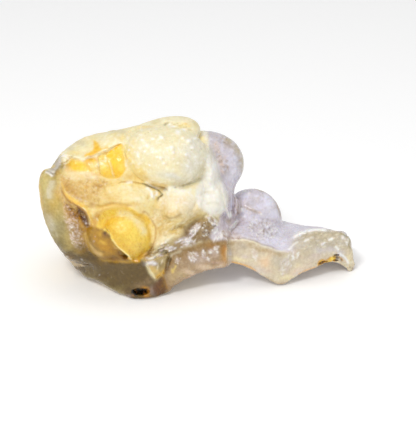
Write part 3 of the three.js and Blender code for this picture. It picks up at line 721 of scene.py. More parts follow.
def left_lobe():
    """The lobe at the left: grey inside at the top, greenish skin, and a rough purple-brown band."""
    paint(inside(LEFT_LOBE, 0.8), mix(MOSS, LICHEN, 0.25))
    dabs(mix(WILLOW, MOSS, 0.4), 0.8, (43, 180, 7, 12), (46, 192, 5, 8))
    dabs(mix(BRONZE, MOSS, 0.4), 0.75, (47, 215, 7, 9, 20), (41, 200, 2, 12))
    dabs(MARIGOLD, 0.25, (53, 203, 5, 9), (57, 196, 3, 6))
    dabs(mix(LICHEN, FERN, 0.15), 0.97, (54, 230, 8, 11, 20), (61, 228, 6, 12, 20))
    # darker towards the bottom: the lobe's own olive, deepened as painted shade low down
    dabs(mix(FERN, OLIVE, 0.25), 0.95, (59, 245, 9, 7, 30))
    dabs(OLIVE, 0.9, (70, 254, 14, 6, -25), (84, 256, 10, 5))
    chips(LEFT_LOBE, 140, 38, ECRU, 0.22, 1.3, 0.5, 0.0, 70)
    chips(LEFT_LOBE, 90, 44, FERN, 0.2, 1.4, 0.6, 0.0, 70)
    # painted highlights: pale streaks where the lobe's skin catches the light
    strokes(PEARL, 0.4, 1.0, [(53, 179), (50.5, 190), (49, 200)], [(47, 212), (50, 222), (54, 232)])
    strokes(STONE, 0.5, 0.4, [(51, 180), (49, 190), (48.5, 200)], [(48, 214), (52, 226), (58, 238)])
    strokes(STRAW, 0.7, 0.4, [(39.8, 178), (39.6, 190), (40.8, 204), (43.5, 214)])
    inner = [(47.5, 170), (50, 166.5), (53.5, 162.5), (60.4, 157.6), (61, 163), (58.8, 168.5), (54, 176),
             (51.5, 174.5)]
    paint(inside(inner, 0.5), mix(STONE, LILAC, 0.4), 0.95)
    dabs(TAUPE, 0.4, (57, 162, 3, 1.6, -40), (51, 168, 2, 2))
    dabs(WHITE, 0.75, (58, 166, 0.9, 2.4, 35), (53, 172, 2, 1.4))
    strokes(LICHEN, 0.9, 0.3, [(48, 168.8), (52.6, 163.3), (57.6, 159.4), (60.4, 157.4)],
            [(59.5, 164), (57, 170), (54, 175.5)])
    strokes(AMBER, 0.45, 0.3, [(39.6, 177), (40.4, 172.5), (43, 170.3), (45, 170)])
    # painted highlight along the raised rim
    strokes(WHITE, 0.85, 0.35, [(44.5, 170.6), (48.5, 173), (53, 176.5)])
    strokes(OLIVE, 0.6, 0.25, [(45, 169.9), (49, 171.9), (53.5, 175)])
    ribs(0.35, 0.4, [(44, 170.5), (48.5, 173), (53, 176)])
    ribs(-0.35, 1.0, [(58, 168), (57, 176), (57, 186), (60, 196), (63, 205)])
    band = inside(PURPLE_BAND, 1.6)
    paint(band, mix(SAND, TOFFEE, 0.3), 0.9)
    dabs(APRICOT, 0.6, (63, 199, 3, 6, -25), (60, 190, 3, 5))
    dabs(TOFFEE, 0.8, (71, 213, 5, 5), (76, 216, 3.5, 3), (67, 206, 3, 4))
    dabs(mix(TAUPE, TOFFEE, 0.3), 0.9, (76, 234, 7, 9, 10), (72, 225, 5, 6))
    dabs(mix(BRONZE, OLIVE, 0.35), 0.92, (82, 248, 7, 6), (86, 252, 5, 4), (79, 244, 4, 5))
    chips(PURPLE_BAND, 130, 39, mix(TOFFEE, UMBER, 0.35), 0.6, 1.1, 0.6, -0.12)
    chips([(62, 205), (70, 207), (78, 222), (83, 236), (84, 250), (76, 248), (69, 236), (65, 220)],
          150, 40, mix(PINKISH, PEACH, 0.35), 0.9, 0.85, 0.55, 0.14)
    chips([(70, 222), (79, 226), (82, 242), (75, 246), (70, 238)], 50, 84, WHITE, 0.7, 0.75, 0.5, 0.12)
    chips([(66, 204), (76, 208), (82, 216), (78, 220), (70, 214)], 30, 41, UMBER, 0.5, 1.0, 0.6, -0.15)
    mark(band, grain=1.0, frost=0.15)
    mark(inside(LEFT_LOBE, 0.8), 0.6, grain=0.3)


def left_lip():
    """The golden lip over the brown cavity in the left lobe."""
    lift(beside(LEFT_LIP, 4.0, 0.25), 1.3)
    ribs(0.45, 0.5, LEFT_LIP_CREST)
    lift(inside(BROWN_CAVITY, 0.6), -0.6)
    paint(inside(BROWN_CAVITY, 0.5), mix(UMBER, RUST, 0.3), 0.9)
    chips(BROWN_CAVITY, 16, 42, PINKISH, 0.7, 0.8, 0.5, 0.1)
    # painted shade in the deepest spots of the cavity
    dabs(HOLLOW_SHADE, 0.55, (79.5, 210.5, 2.2, 1.2, 40), (85.4, 220.4, 0.9, 1.6), (88, 225.4, 1, 0.7))
    dabs(AMBER, 0.6, (80, 218, 2, 2.5), (82.5, 224, 1.2, 2.5))
    # painted highlights: glints on glassy bits in the cavity
    dabs(WHITE, 0.95, (86.5, 223.2, 1.2, 0.8), (88.8, 226.6, 1.2, 0.8), (85, 217.8, 0.9), (89.8, 223, 0.8),
         (84, 221.5, 0.7))
    lip_band = [(61.6, 184), (65, 189.5), (70, 194.5), (76, 198.8), (82, 202.5), (87, 207), (90, 213),
                (93, 220), (94.5, 226), (92, 226), (89.5, 220), (86.6, 213.8), (82.6, 209.6), (76.5, 205.6),
                (70, 201), (65, 195.6)]
    paint(inside(lip_band, 0.4), mix(SUN, TANGERINE, 0.6), 0.97)
    strokes(BUTTER, 0.6, 0.25, [(63, 186), (68, 193.5), (76, 199.5), (84, 205.4), (89, 212.5), (92.5, 221)])
    # painted shade: a dark line under the lip's edge
    strokes(RUST, 0.7, 0.28, [(61, 187), (65.5, 196), (70.5, 201.4), (77, 206), (82.6, 210.2),
                              (86.4, 214.6), (89, 221)])


def middle():
    """The folds across the middle, the seam under the great bulb, and the slope down to the right."""
    ribs(-0.3, 0.45, VALLEY)
    ribs(0.6, 0.8, ARC)
    ribs(-0.2, 0.28, SEAM)
    lift(beside([(158, 199), (161, 194.5), (157, 190.5), (152, 187.8), (146, 186)], 1.5, 0.2), 0.35)
    ribs(0.25, 0.4, [(118, 188), (123, 185.3), (128, 184.8), (132.5, 187)],
         [(151.5, 190), (152.5, 196), (151.8, 201)])
    bumps(1.0, (174, 191, 15, 4))
    bumps(0.5, (178, 200, 13, 9), (184, 192, 9, 6), (145, 184, 8, 3))
    lift(beside([(164, 214), (170.7, 217), (177, 215.5), (182, 212.9)], 1.4, 0.22, 0.25), 0.5)
    ribs(-0.3, 0.6, [(186, 214), (191, 211), (195, 206), (197.5, 198)])
    ribs(-0.3, 0.4, [(157, 229), (163, 231.5), (170, 231), (178, 227.5), (184, 224)],
         [(158, 235.5), (165, 234.5), (173, 236)], [(154, 208), (160, 213.5), (165, 219), (172, 222)])
    ribs(0.3, 0.5, [(160, 226.5), (168, 227.5), (176, 224), (184, 219)], [(152, 212), (156, 217), (160, 222)],
         [(150, 219), (155, 222), (158, 228)])
    ribs(-0.3, 0.7, [(104, 192), (109, 187), (116, 183), (124, 180)], [(84, 178), (96, 181), (108, 181)])
    ribs(0.3, 1.1, [(74, 188), (82, 184), (92, 183), (102, 181)])
    ribs(-0.25, 0.7, [(78, 195), (88, 192), (98, 193), (106, 197)])
    bumps(0.3, (90, 187, 8, 5))
    bumps(0.9, (164.5, 240, 7, 6), (156, 245, 7, 6))

    band = [(60, 172), (80, 177), (98, 178), (114, 179), (126, 174), (136, 172), (146, 181),
            (160, 188), (166, 200), (160, 214), (150, 216), (130, 209), (106, 209), (94, 214),
            (84, 208), (70, 199), (62, 188)]
    paint(inside(band, 1.5), mix(BUTTER, CREAM, 0.3))
    chips(band, 120, 43, IVORY, 0.3, 1.5, 0.9)
    skirt = inside(MIDDLE_LEFT, 1.6)
    paint(skirt, mix(SAND, APRICOT, 0.4), 0.95)
    dabs(mix(TOFFEE, AMBER, 0.2), 0.8, (66, 187, 5, 5, -30), (73, 191.5, 6, 3.5, 30),
         (84, 196.5, 8, 2.4, -10), (100, 186, 5, 2))
    dabs(IVORY, 0.4, (72, 178, 10, 3, 5), (92, 178, 7, 2.4))
    chips(MIDDLE_LEFT, 130, 45, TOFFEE, 0.4, 1.3, 0.7, -0.08)
    chips(MIDDLE_LEFT, 150, 46, mix(IVORY, PEACH, 0.5), 0.45, 1.1, 0.6, 0.08)
    dabs(AMBER, 0.4, (80, 182, 3, 2), (86, 186, 2.5, 1.5), (62, 180, 2, 4, -20))
    dabs(PINKISH, 0.75, (77, 197.4, 1.6, 0.7, -15), (81, 198.6, 1.6, 0.7, 20), (86, 200.6, 1.6, 0.7, 20),
         (73, 195.6, 1.2, 0.6))
    mark(skirt, grain=0.9)
    paint(inside(FIRST_FOLD, 1.2), mix(BUTTER, CREAM, 0.5))
    chips(FIRST_FOLD, 120, 48, IVORY, 0.4, 1.6, 0.9, 0.05)
    chips(FIRST_FOLD, 70, 85, STRAW, 0.3, 1.2, 0.7, -0.06)
    dabs(IVORY, 0.6, (128, 188, 9, 3), (146, 191, 6, 4), (138, 199, 9, 3.5))
    dabs(STRAW, 0.8, (113, 199, 10, 3.5), (132, 204, 12, 2.4), (106, 194, 4, 4))
    mark(inside(FIRST_FOLD, 1.5), grain=0.45)
    paint(inside(SECOND_FOLD, 1.4), mix(CREAM, BONE, 0.4))
    dabs(IVORY, 0.9, (172, 190, 13, 3), (184, 193, 7, 4))
    dabs(PEACH, 0.35, (182, 202, 9, 6), (190, 206, 4, 6))
    dabs(STONE, 0.5, (192, 206, 4, 8))
    dabs(SAND, 0.6, (164, 207, 4, 7), (172, 214, 7, 2.6), (180, 211, 5, 3))
    chips(SECOND_FOLD, 90, 49, WHITE, 0.4, 1.5, 0.8, 0.05)
    mark(inside(SECOND_FOLD, 1.0), grain=0.45)
    strokes(TOFFEE, 0.75, 0.35, VALLEY)
    dabs(RUST, 0.7, (98, 205.3, 1.6, 0.9))
    dabs(TOFFEE, 0.6, (92, 206, 4, 2.4, -20), (100, 209.6, 6, 1.2, -10), (96, 214, 2, 4, 20))
    strokes(mix(BUTTER, PEACH, 0.4), 0.9, 0.8, ARC)
    strokes(SUN, 0.25, 0.35, ARC)
    strokes(TOFFEE, 0.5, 0.3, [(104, 211.6), (112, 210), (120, 209.6), (128, 211)],
            [(141, 211), (146, 213.6), (150, 219)], [(152, 214), (156, 219), (159, 226)])
    # painted shadow under the second fold
    strokes(mix(TOFFEE, OLIVE, 0.4), 0.85, 0.3,
            [(163.5, 213.5), (168.5, 216.8), (173, 217.4), (179, 214.6), (182.5, 212.6)])
    # painted shade in the seam's crack: light brown at the left, dark olive-grey to the right
    strokes(TOFFEE, 0.8, 0.16, SEAM[:6], taper=0.2)
    strokes(mix(OLIVE, LICHEN, 0.3), 0.95, 0.2, SEAM[4:], taper=0.08)
    # painted highlights on the glassy chips around the seam
    strokes(WHITE, 0.9, 0.35, [(126, 182.6), (129.4, 181.2), (133, 182)],
            [(145, 187.4), (149, 189.6), (151.6, 193), (152.6, 199)],
            [(154.6, 190.6), (156.4, 193), (155.6, 197)],
            [(162, 192), (165, 188.6), (170, 187.6), (176, 188)],
            [(144, 181.6), (150, 184.6), (156, 187.6), (162, 188.6)])
    dabs(WHITE, 0.9, (149, 188.4, 1.6, 0.9, 30), (151.4, 194, 1.2, 2.6), (164.6, 190, 2.2, 0.9, 60),
         (167.5, 192, 1, 2.4, 30), (154, 197.6, 0.9, 2))
    # painted shade: darker spots in the seam
    dabs(TAUPE, 0.6, (153.5, 187.8, 1.8, 0.7, 35), (147, 186, 1.6, 0.6, 20), (157.6, 199.6, 0.8, 2.6))

    slope = [(150, 216), (160, 208), (170, 218), (184, 214), (196, 206), (200, 214), (192, 224),
             (180, 236), (166, 244), (154, 252), (156, 240), (155, 228)]
    paint(inside(slope, 1.8), mix(STRAW, ECRU, 0.4), 0.95)
    dabs(STRAW, 0.7, (160, 229, 4, 4), (172, 232, 6, 3, 20), (155, 234, 2.5, 5))
    dabs(STONE, 0.5, (190, 214, 5, 4), (184, 222, 7, 3, -35))
    dabs(KHAKI, 0.5, (180, 216, 4, 3), (176, 228, 6, 2, -30))
    dabs(IVORY, 0.8, (164, 238, 6, 4), (157, 244, 5, 5), (158, 214, 4, 4))
    chips(slope, 120, 50, IVORY, 0.5, 1.7, 0.6, 0.08, -30)
    chips(slope, 90, 51, KHAKI, 0.4, 1.6, 0.5, -0.06, -30)
    mark(inside(slope, 1.5), grain=0.7)


def dome():
    """The honey-yellow dome, broken open over the olive-gold inner ball."""
    ribs(-0.25, 0.45, DOME_SHADOW)
    bumps(-0.3, (101, 219, 6, 6, 30))
    ribs(0.3, 0.3, [(96, 217), (99, 221), (98, 226)], [(101, 214), (104.5, 218), (103, 223)])
    hollow = [(91, 229), (93, 218), (100, 212), (112, 208.5), (114, 213), (106, 219), (103, 229)]
    paint(inside(hollow, 0.8), mix(STRAW, TANGERINE, 0.4))
    dabs(TOFFEE, 0.7, (99, 221, 2.6, 4, 20), (104, 215, 4, 1.6, -30), (96, 225, 2, 3))
    dabs(MARIGOLD, 0.6, (101, 226, 4, 2.5), (108, 216, 4, 2, -30))
    strokes(IVORY, 0.75, 0.25, [(96, 217), (99, 221), (98, 226)], [(101, 214), (104.5, 218), (103, 223)])
    paint(inside(DOME_FACE, 0.5), mix(HONEY, SUN, 0.4))
    dabs(mix(AMBER, GOLD, 0.25), 0.85, (107.5, 226, 4.5, 5, 30))
    dabs(mix(AMBER, HONEY, 0.5), 0.7, (113.5, 234, 4, 6, 30), (121, 244, 7, 4.5, 40), (130, 252, 6, 3, 40))
    dabs(SUN, 0.5, (128, 222, 9, 7), (137, 232, 7, 8), (146, 238, 5, 8))
    dabs(STRAW, 0.5, (141, 250, 6, 5, 20))
    dabs(mix(HONEY, KHAKI, 0.5), 0.5, (139, 256.5, 7, 2.4), (133, 257, 5, 2))
    crescent = [(114, 212.5), (124, 213.5), (132, 217), (139, 222.5), (144, 229.5), (145.5, 237)]
    strokes(mix(IVORY, BUTTER, 0.35), 0.75, 1.0, crescent)
    strokes(CREAM, 0.7, 0.5, [(148.5, 223), (152.3, 231), (152.3, 240), (149.6, 248)])
    strokes(mix(HONEY, AMBER, 0.3), 0.5, 0.45,
            [(120, 209.4), (131, 211.6), (140, 216.6), (147, 225), (150, 236), (148, 246)])
    chips(DOME_FACE, 90, 52, SUN, 0.45, 1.4, 0.7, 0.04)
    chips(DOME_FACE, 70, 53, mix(AMBER, TOFFEE, 0.4), 0.3, 1.0, 0.6, -0.04)
    chips([(126, 240), (136, 236), (142, 246), (138, 256), (128, 252)], 30, 86, TOFFEE, 0.35, 0.8, 0.5)
    strokes(TOFFEE, 0.6, 0.25, DOME_SHADOW)
    paint(inside(BALL_FACE, 0.4), mix(BRONZE, AMBER, 0.3))
    dabs(mix(AMBER, BRONZE, 0.3), 0.8, (97, 237, 6, 6, 20), (104, 248, 8, 5, 30))
    dabs(HONEY, 0.6, (102, 243, 4.5, 2.2, 30), (100, 234, 3, 3))
    dabs(OCHRE, 0.9, (113, 258.5, 13, 4, -10), (126, 259.5, 8, 3), (120, 254, 7, 3, 30))
    strokes(mix(STRAW, BRONZE, 0.25), 0.8, 0.6,
            [(84, 230), (86.2, 240), (91, 247.5), (97.5, 253), (104, 256.4)])
    strokes(BRONZE, 0.7, 0.3, [(87.5, 231), (89.8, 240), (94, 246.4), (100, 251), (107, 254)])
    strokes(mix(GOLD, BRONZE, 0.6), 0.4, 0.3, [(97, 257), (107, 261), (116, 262.6), (126, 262), (136, 261.2)])
    dabs(UMBER, 0.95, (106.3, 233.6, 3, 4.4, 30))
    # painted shade in the ball's hole
    dabs(HOLLOW_SHADE, 0.55, (105.5, 233, 1.1, 2.8, 30), (108, 236.6, 0.9, 1.2))
    dabs(TOFFEE, 0.8, (107.6, 233.4, 0.8, 2.4, 30), (104.4, 235.6, 0.8, 1.4))
    dabs(mix(TANGERINE, AMBER, 0.6), 0.85, (94, 237.5, 2, 2.8), (96.5, 239.8, 1.6, 1.2))
    dabs(AMBER, 0.8, (95.4, 240.4, 2.4, 1.2, 20))
    # painted highlights on the glassy ball
    dabs(WHITE, 0.9, (93.5, 240.8, 0.9, 0.8), (94.6, 236.2, 0.5))
    strokes(SUN, 0.95, 0.32, DOME_EDGE, taper=0.04)
    strokes(mix(GOLD, AMBER, 0.5), 0.9, 0.4, [(127, 256.5), (134, 260), (141, 260.4)])
    strokes(IVORY, 0.6, 0.18, DOME_EDGE[3:], taper=0.1)
    ribs(0.2, 0.3, DOME_EDGE, taper=0.04)
    bumps(0.9, (123, 258, 9, 3.5, 20))
    mark(inside(DOME_FACE, 0.5), grain=0.25, gloss=0.7)
    mark(inside(BALL_FACE, 0.5), grain=0.05, gloss=1.0)


def keel():
    """The grey-olive translucent keel, its small hole, the tongue and the gap beside it, with painted shade.
    """
    lift(inside(TONGUE, 0.3), 1.3)
    lift(inside(SHADED_GAP, 0.6), -0.25)
    ribs(-0.35, 1.8, [(74, 266), (90, 268), (108, 270), (126, 268)])
    ribs(0.25, 1.0, [(80, 272), (98, 277), (116, 284)])
    bumps(0.5, (70, 259, 3.5, 3), (78, 267, 3, 2.5), (66, 256, 2.5, 2))
    # the keel's own translucent olive, darkened further as painted shade under the overhang
    paint(inside(KEEL_FACE, 0.8), mix(MUD, OLIVE, 0.35))
    dabs(FERN, 0.55, (90, 276, 9, 4, -35), (106, 283, 9, 4, -30), (118, 289, 8, 4, -20))
    dabs(TAUPE, 0.5, (120, 294, 8, 3, -15), (140, 286, 8, 4), (148, 281, 6, 4))
    # painted highlight: a paler band along the lower left rim
    strokes(LICHEN, 0.8, 0.6, [(78, 272), (86, 277), (96, 281.6), (106, 287), (118, 293.4), (128, 297)])
    dabs(TAUPE, 0.9, (69, 258.5, 4, 3.5), (74.5, 263, 3, 2.4), (78.5, 267.5, 2.5, 2))
    dabs(WHITE, 0.5, (68, 256.6, 1.6, 0.7, 25), (77.4, 265.6, 1.2, 1), (81.7, 259.4, 0.8),
         (98.9, 275.2, 0.9, 0.7))
    dabs(MAUVE, 0.4, (153, 291, 4, 5), (128, 295.6, 5, 1.6))
    # painted shade down the gap beside the tongue
    dabs(mix(UMBER, RUST, 0.3), 0.8, (158, 286, 3.6, 8, 10))
    chips([(70, 257), (86, 259), (100, 268), (96, 276), (80, 268)], 14, 87, LICHEN, 0.5, 0.9, 0.5)
    # painted shade: the gap filled dark brown
    paint(inside(SHADED_GAP, 1.1), mix(UMBER, RUST, 0.15), 0.95)
    dabs(mix(AMBER, RUST, 0.3), 0.95, (146, 288.6, 4.6, 2, 10), (149, 291.6, 1.8, 3), (146.6, 296.4, 3.6, 2))
    dabs(RUST, 0.6, (135, 290.6, 3, 1.2), (134, 295.6, 2.4, 1))
    # painted shade: the small hole filled near-black
    paint(inside(DARK_HOLE, 0.2), HOLLOW_SHADE)
    chips([(132, 290), (149, 289), (148, 295), (134, 294.6)], 6, 88, RUST, 0.7, 0.8, 0.5, 0.25)
    paint(inside(TONGUE, 0.3), mix(KHAKI, OLIVE, 0.15))
    dabs(STRAW, 0.7, (152, 269, 2.6, 5, -20), (156, 272, 3, 3))
    dabs(LILAC, 0.95, (149.8, 263.6, 4.4, 2.2, -10), (153.6, 265, 2.6, 1.6))
    dabs(WHITE, 1.0, (149.4, 263.2, 3.4, 1.5, -10), (153.8, 264.4, 2.2, 1.1), (147, 265, 1, 1.6))
    dabs(mix(AMBER, GOLD, 0.35), 0.95, (160, 275.4, 4, 2, -20), (156.5, 277.6, 2, 1.4),
         (164, 272.6, 1.6, 2.4))
    dabs(OLIVE, 0.45, (160, 266, 4, 4), (166, 259, 2.5, 4))
    dabs(IVORY, 0.7, (152, 275, 1.2, 2.6, -30), (157, 268, 0.9, 3, 10), (161, 262, 0.8, 3, 20))
    strokes(CREAM, 0.85, 0.3, [(146, 264), (148.5, 269), (151.5, 275), (155, 279.3)])
    mark(inside(TONGUE, 0.4), grain=0.25, gloss=1.0)
    mark(inside(KEEL_FACE, 0.8), grain=0.1, gloss=0.8)


def block():
    """The granular block right of the tongue, and the frosted zone above it."""
    ribs(-0.35, 0.6, [(170, 256), (167.5, 264), (168, 272)])
    knobs(0.8, (193, 256, 4.5, 0.3), (205, 252, 3, 0.25), (208, 258, 3, 0.25), (214, 250, 4, 0.25),
          (218, 256, 3, 0.2), (183, 262, 4, 0.25), (199, 262, 5, -0.3), (177, 268, 5, -0.25),
          (212, 263, 5, -0.2))
    ribs(0.25, 0.3, [(209, 262.5), (218, 261.8), (226, 262)])
    zone = inside(FROSTED, 0.8)
    mound = [(142, 262), (146, 253), (152, 248), (160, 244), (168, 246), (172, 251), (166, 258),
             (156, 262), (148, 264)]
    lift(inside(mound, 1.2), 1.0)
    dark = [(168, 250), (176, 240), (184, 231), (190, 224), (198, 219), (206, 222), (214, 218), (220, 226),
            (216, 238), (204, 243), (190, 247), (178, 252)]
    paint(zone, mix(KHAKI, STONE, 0.15), 0.95)
    paint(inside(dark, 1.0), mix(TAUPE, KHAKI, 0.3), 0.95)
    dabs(mix(TAUPE, UMBER, 0.3), 0.7, (208, 231, 6, 7), (204, 240, 8, 3, -10), (188, 234, 4, 6, -35))
    dabs(TAUPE, 0.6, (176, 249, 8, 3, -25), (166, 256, 6, 2.4, -20), (156, 252, 4, 1.4, -20))
    lumps = [(145, 259), (150, 252), (158, 246), (168, 243), (170, 249), (162, 256), (150, 262)]
    chips(lumps, 24, 54, IVORY, 0.6, 2.0, 0.6, 0.2, -25)
    chips(lumps, 24, 89, OLIVE, 0.5, 2.0, 0.5, -0.15, -25)
    clusters = [
        ([(186, 239), (191, 231), (197, 223), (201, 225), (198, 233), (192, 241), (187, 243)], 40, -50),
        ([(175, 241), (181, 237), (187, 238), (188, 242), (182, 244), (176, 243)], 16, -15),
        ([(180, 249), (188, 242), (197, 240), (193, 246), (184, 251)], 16, -30),
        ([(166, 251), (171, 246), (175, 247), (173, 251), (168, 253)], 11, -40),
        ([(159, 249), (165, 241), (169, 243), (167, 249), (162, 251)], 11, -30),
        ([(146, 258), (152, 254), (160, 253), (161, 257), (153, 260), (148, 261)], 12, -15),
        ([(204, 217), (211, 216), (217, 221), (219, 229), (215, 226), (208, 222)], 22, 30),
    ]
    for k, (cluster, count, lean) in enumerate(clusters):
        chips(cluster, count, 55 + k, mix(PINKISH, LILAC, 0.5), 0.8, 1.6, 0.8, 0.15, lean)
        # the white chips: white crystals with painted highlights on them
        chips(cluster, count, 90 + k, WHITE, 0.95, 1.3, 0.5, 0.2, lean)
    pitted = [(203, 224), (210, 221), (217, 229), (214, 239), (204, 240)]
    # dark pits deepened with painted shade; the white chips beside them are painted highlights
    chips(pitted, 34, 97, mix(UMBER, HOLLOW_SHADE, 0.3), 0.75, 0.8, 0.6, -0.15)
    chips(pitted, 26, 98, WHITE, 0.85, 0.8, 0.5, 0.15)
    strokes(IVORY, 0.7, 0.28, [(150, 259), (158, 254), (166, 250)], [(162, 245), (168, 240), (176, 234)],
            [(188, 248), (196, 244.5), (204, 241.5)], [(176, 252), (184, 248.5), (192, 245.5)],
            [(203, 219), (207, 216.4), (212, 216.6), (217, 221), (218.6, 227)])
    mark(zone, grain=0.8, frost=0.1, gloss=1.0)
    face = inside(BLOCK_FACE, 0.6)
    paint(face, mix(CLAY, TAUPE, 0.2))
    dabs(mix(TAUPE, BRONZE, 0.45), 0.9, (188, 249.6, 12, 4, -15), (204, 245.6, 14, 3.6, -6),
         (216, 244.6, 9, 3), (178, 255, 6, 5, -35))
    dabs(BRONZE, 0.35, (172, 262, 5, 5), (220, 248, 5, 4))
    dabs(mix(KHAKI, BEIGE, 0.3), 0.8, (173, 276, 5, 8, 10), (182, 275, 7, 4, 15))
    dabs(mix(PEACH, BEIGE, 0.5), 0.85, (205, 267.5, 12, 3.2, 8), (190, 273, 8, 3, 20), (221, 265.5, 5, 3))
    dabs(PINKISH, 0.45, (199, 260, 8, 5), (214, 254, 5, 5))
    chips(BLOCK_FACE, 70, 62, BEIGE, 0.22, 1.6, 0.9)
    chips(BLOCK_FACE, 80, 63, BRONZE, 0.22, 1.4, 0.7)
    dabs(mix(TANGERINE, TOFFEE, 0.8), 0.8, (224, 251, 3, 6), (225, 259, 2.6, 7))
    dabs(RUST, 0.6, (225, 249, 1.4, 3.4), (226.6, 266, 1.4, 1.6), (227, 257, 0.8, 6))
    strokes(mix(TANGERINE, AMBER, 0.4), 0.9, 0.35, [(161.8, 276), (164.3, 283), (168, 289.6)])
    strokes(TANGERINE, 0.85, 0.3, [(226.4, 247), (227.4, 257), (227, 266.6)])
    strokes(ROSE, 0.6, 0.3, [(182, 281), (190, 277), (200, 273), (212, 270), (224, 267.6)],
            [(210, 262.6), (218, 261.8), (225, 262)])
    strokes(IVORY, 0.5, 0.3, [(167.4, 268), (168.6, 260), (173, 255), (182, 251.2)])
    for k, (chip, count) in enumerate([
        ([(188, 253), (194, 251.5), (198, 254), (197, 260), (192, 263), (189, 259)], 22),
        ([(202, 250), (205, 250), (205.5, 258), (203, 258.5)], 9),
        ([(208.6, 249), (211.6, 250), (210.6, 254), (208.6, 253)], 6),
        ([(213.5, 247), (218, 246.5), (219, 251), (216, 254), (214, 251)], 11),
        ([(176, 259), (181, 258), (180, 264), (176, 266)], 5),
        ([(206, 258), (209, 258), (209, 262), (206.6, 262)], 4),
    ]):
        chips(chip, count, 64 + k, PINKISH, 0.6, 1.4, 0.7, 0.1)
        # painted highlights: white glints on the chips
        chips(chip, count, 102 + k, WHITE, 0.9, 1.1, 0.45, 0.15)
    strokes(SUN, 0.7, 0.22, [(172.6, 268), (173.6, 273.2), (176.8, 264)])
    mark(face, grain=0.4, gloss=0.8)


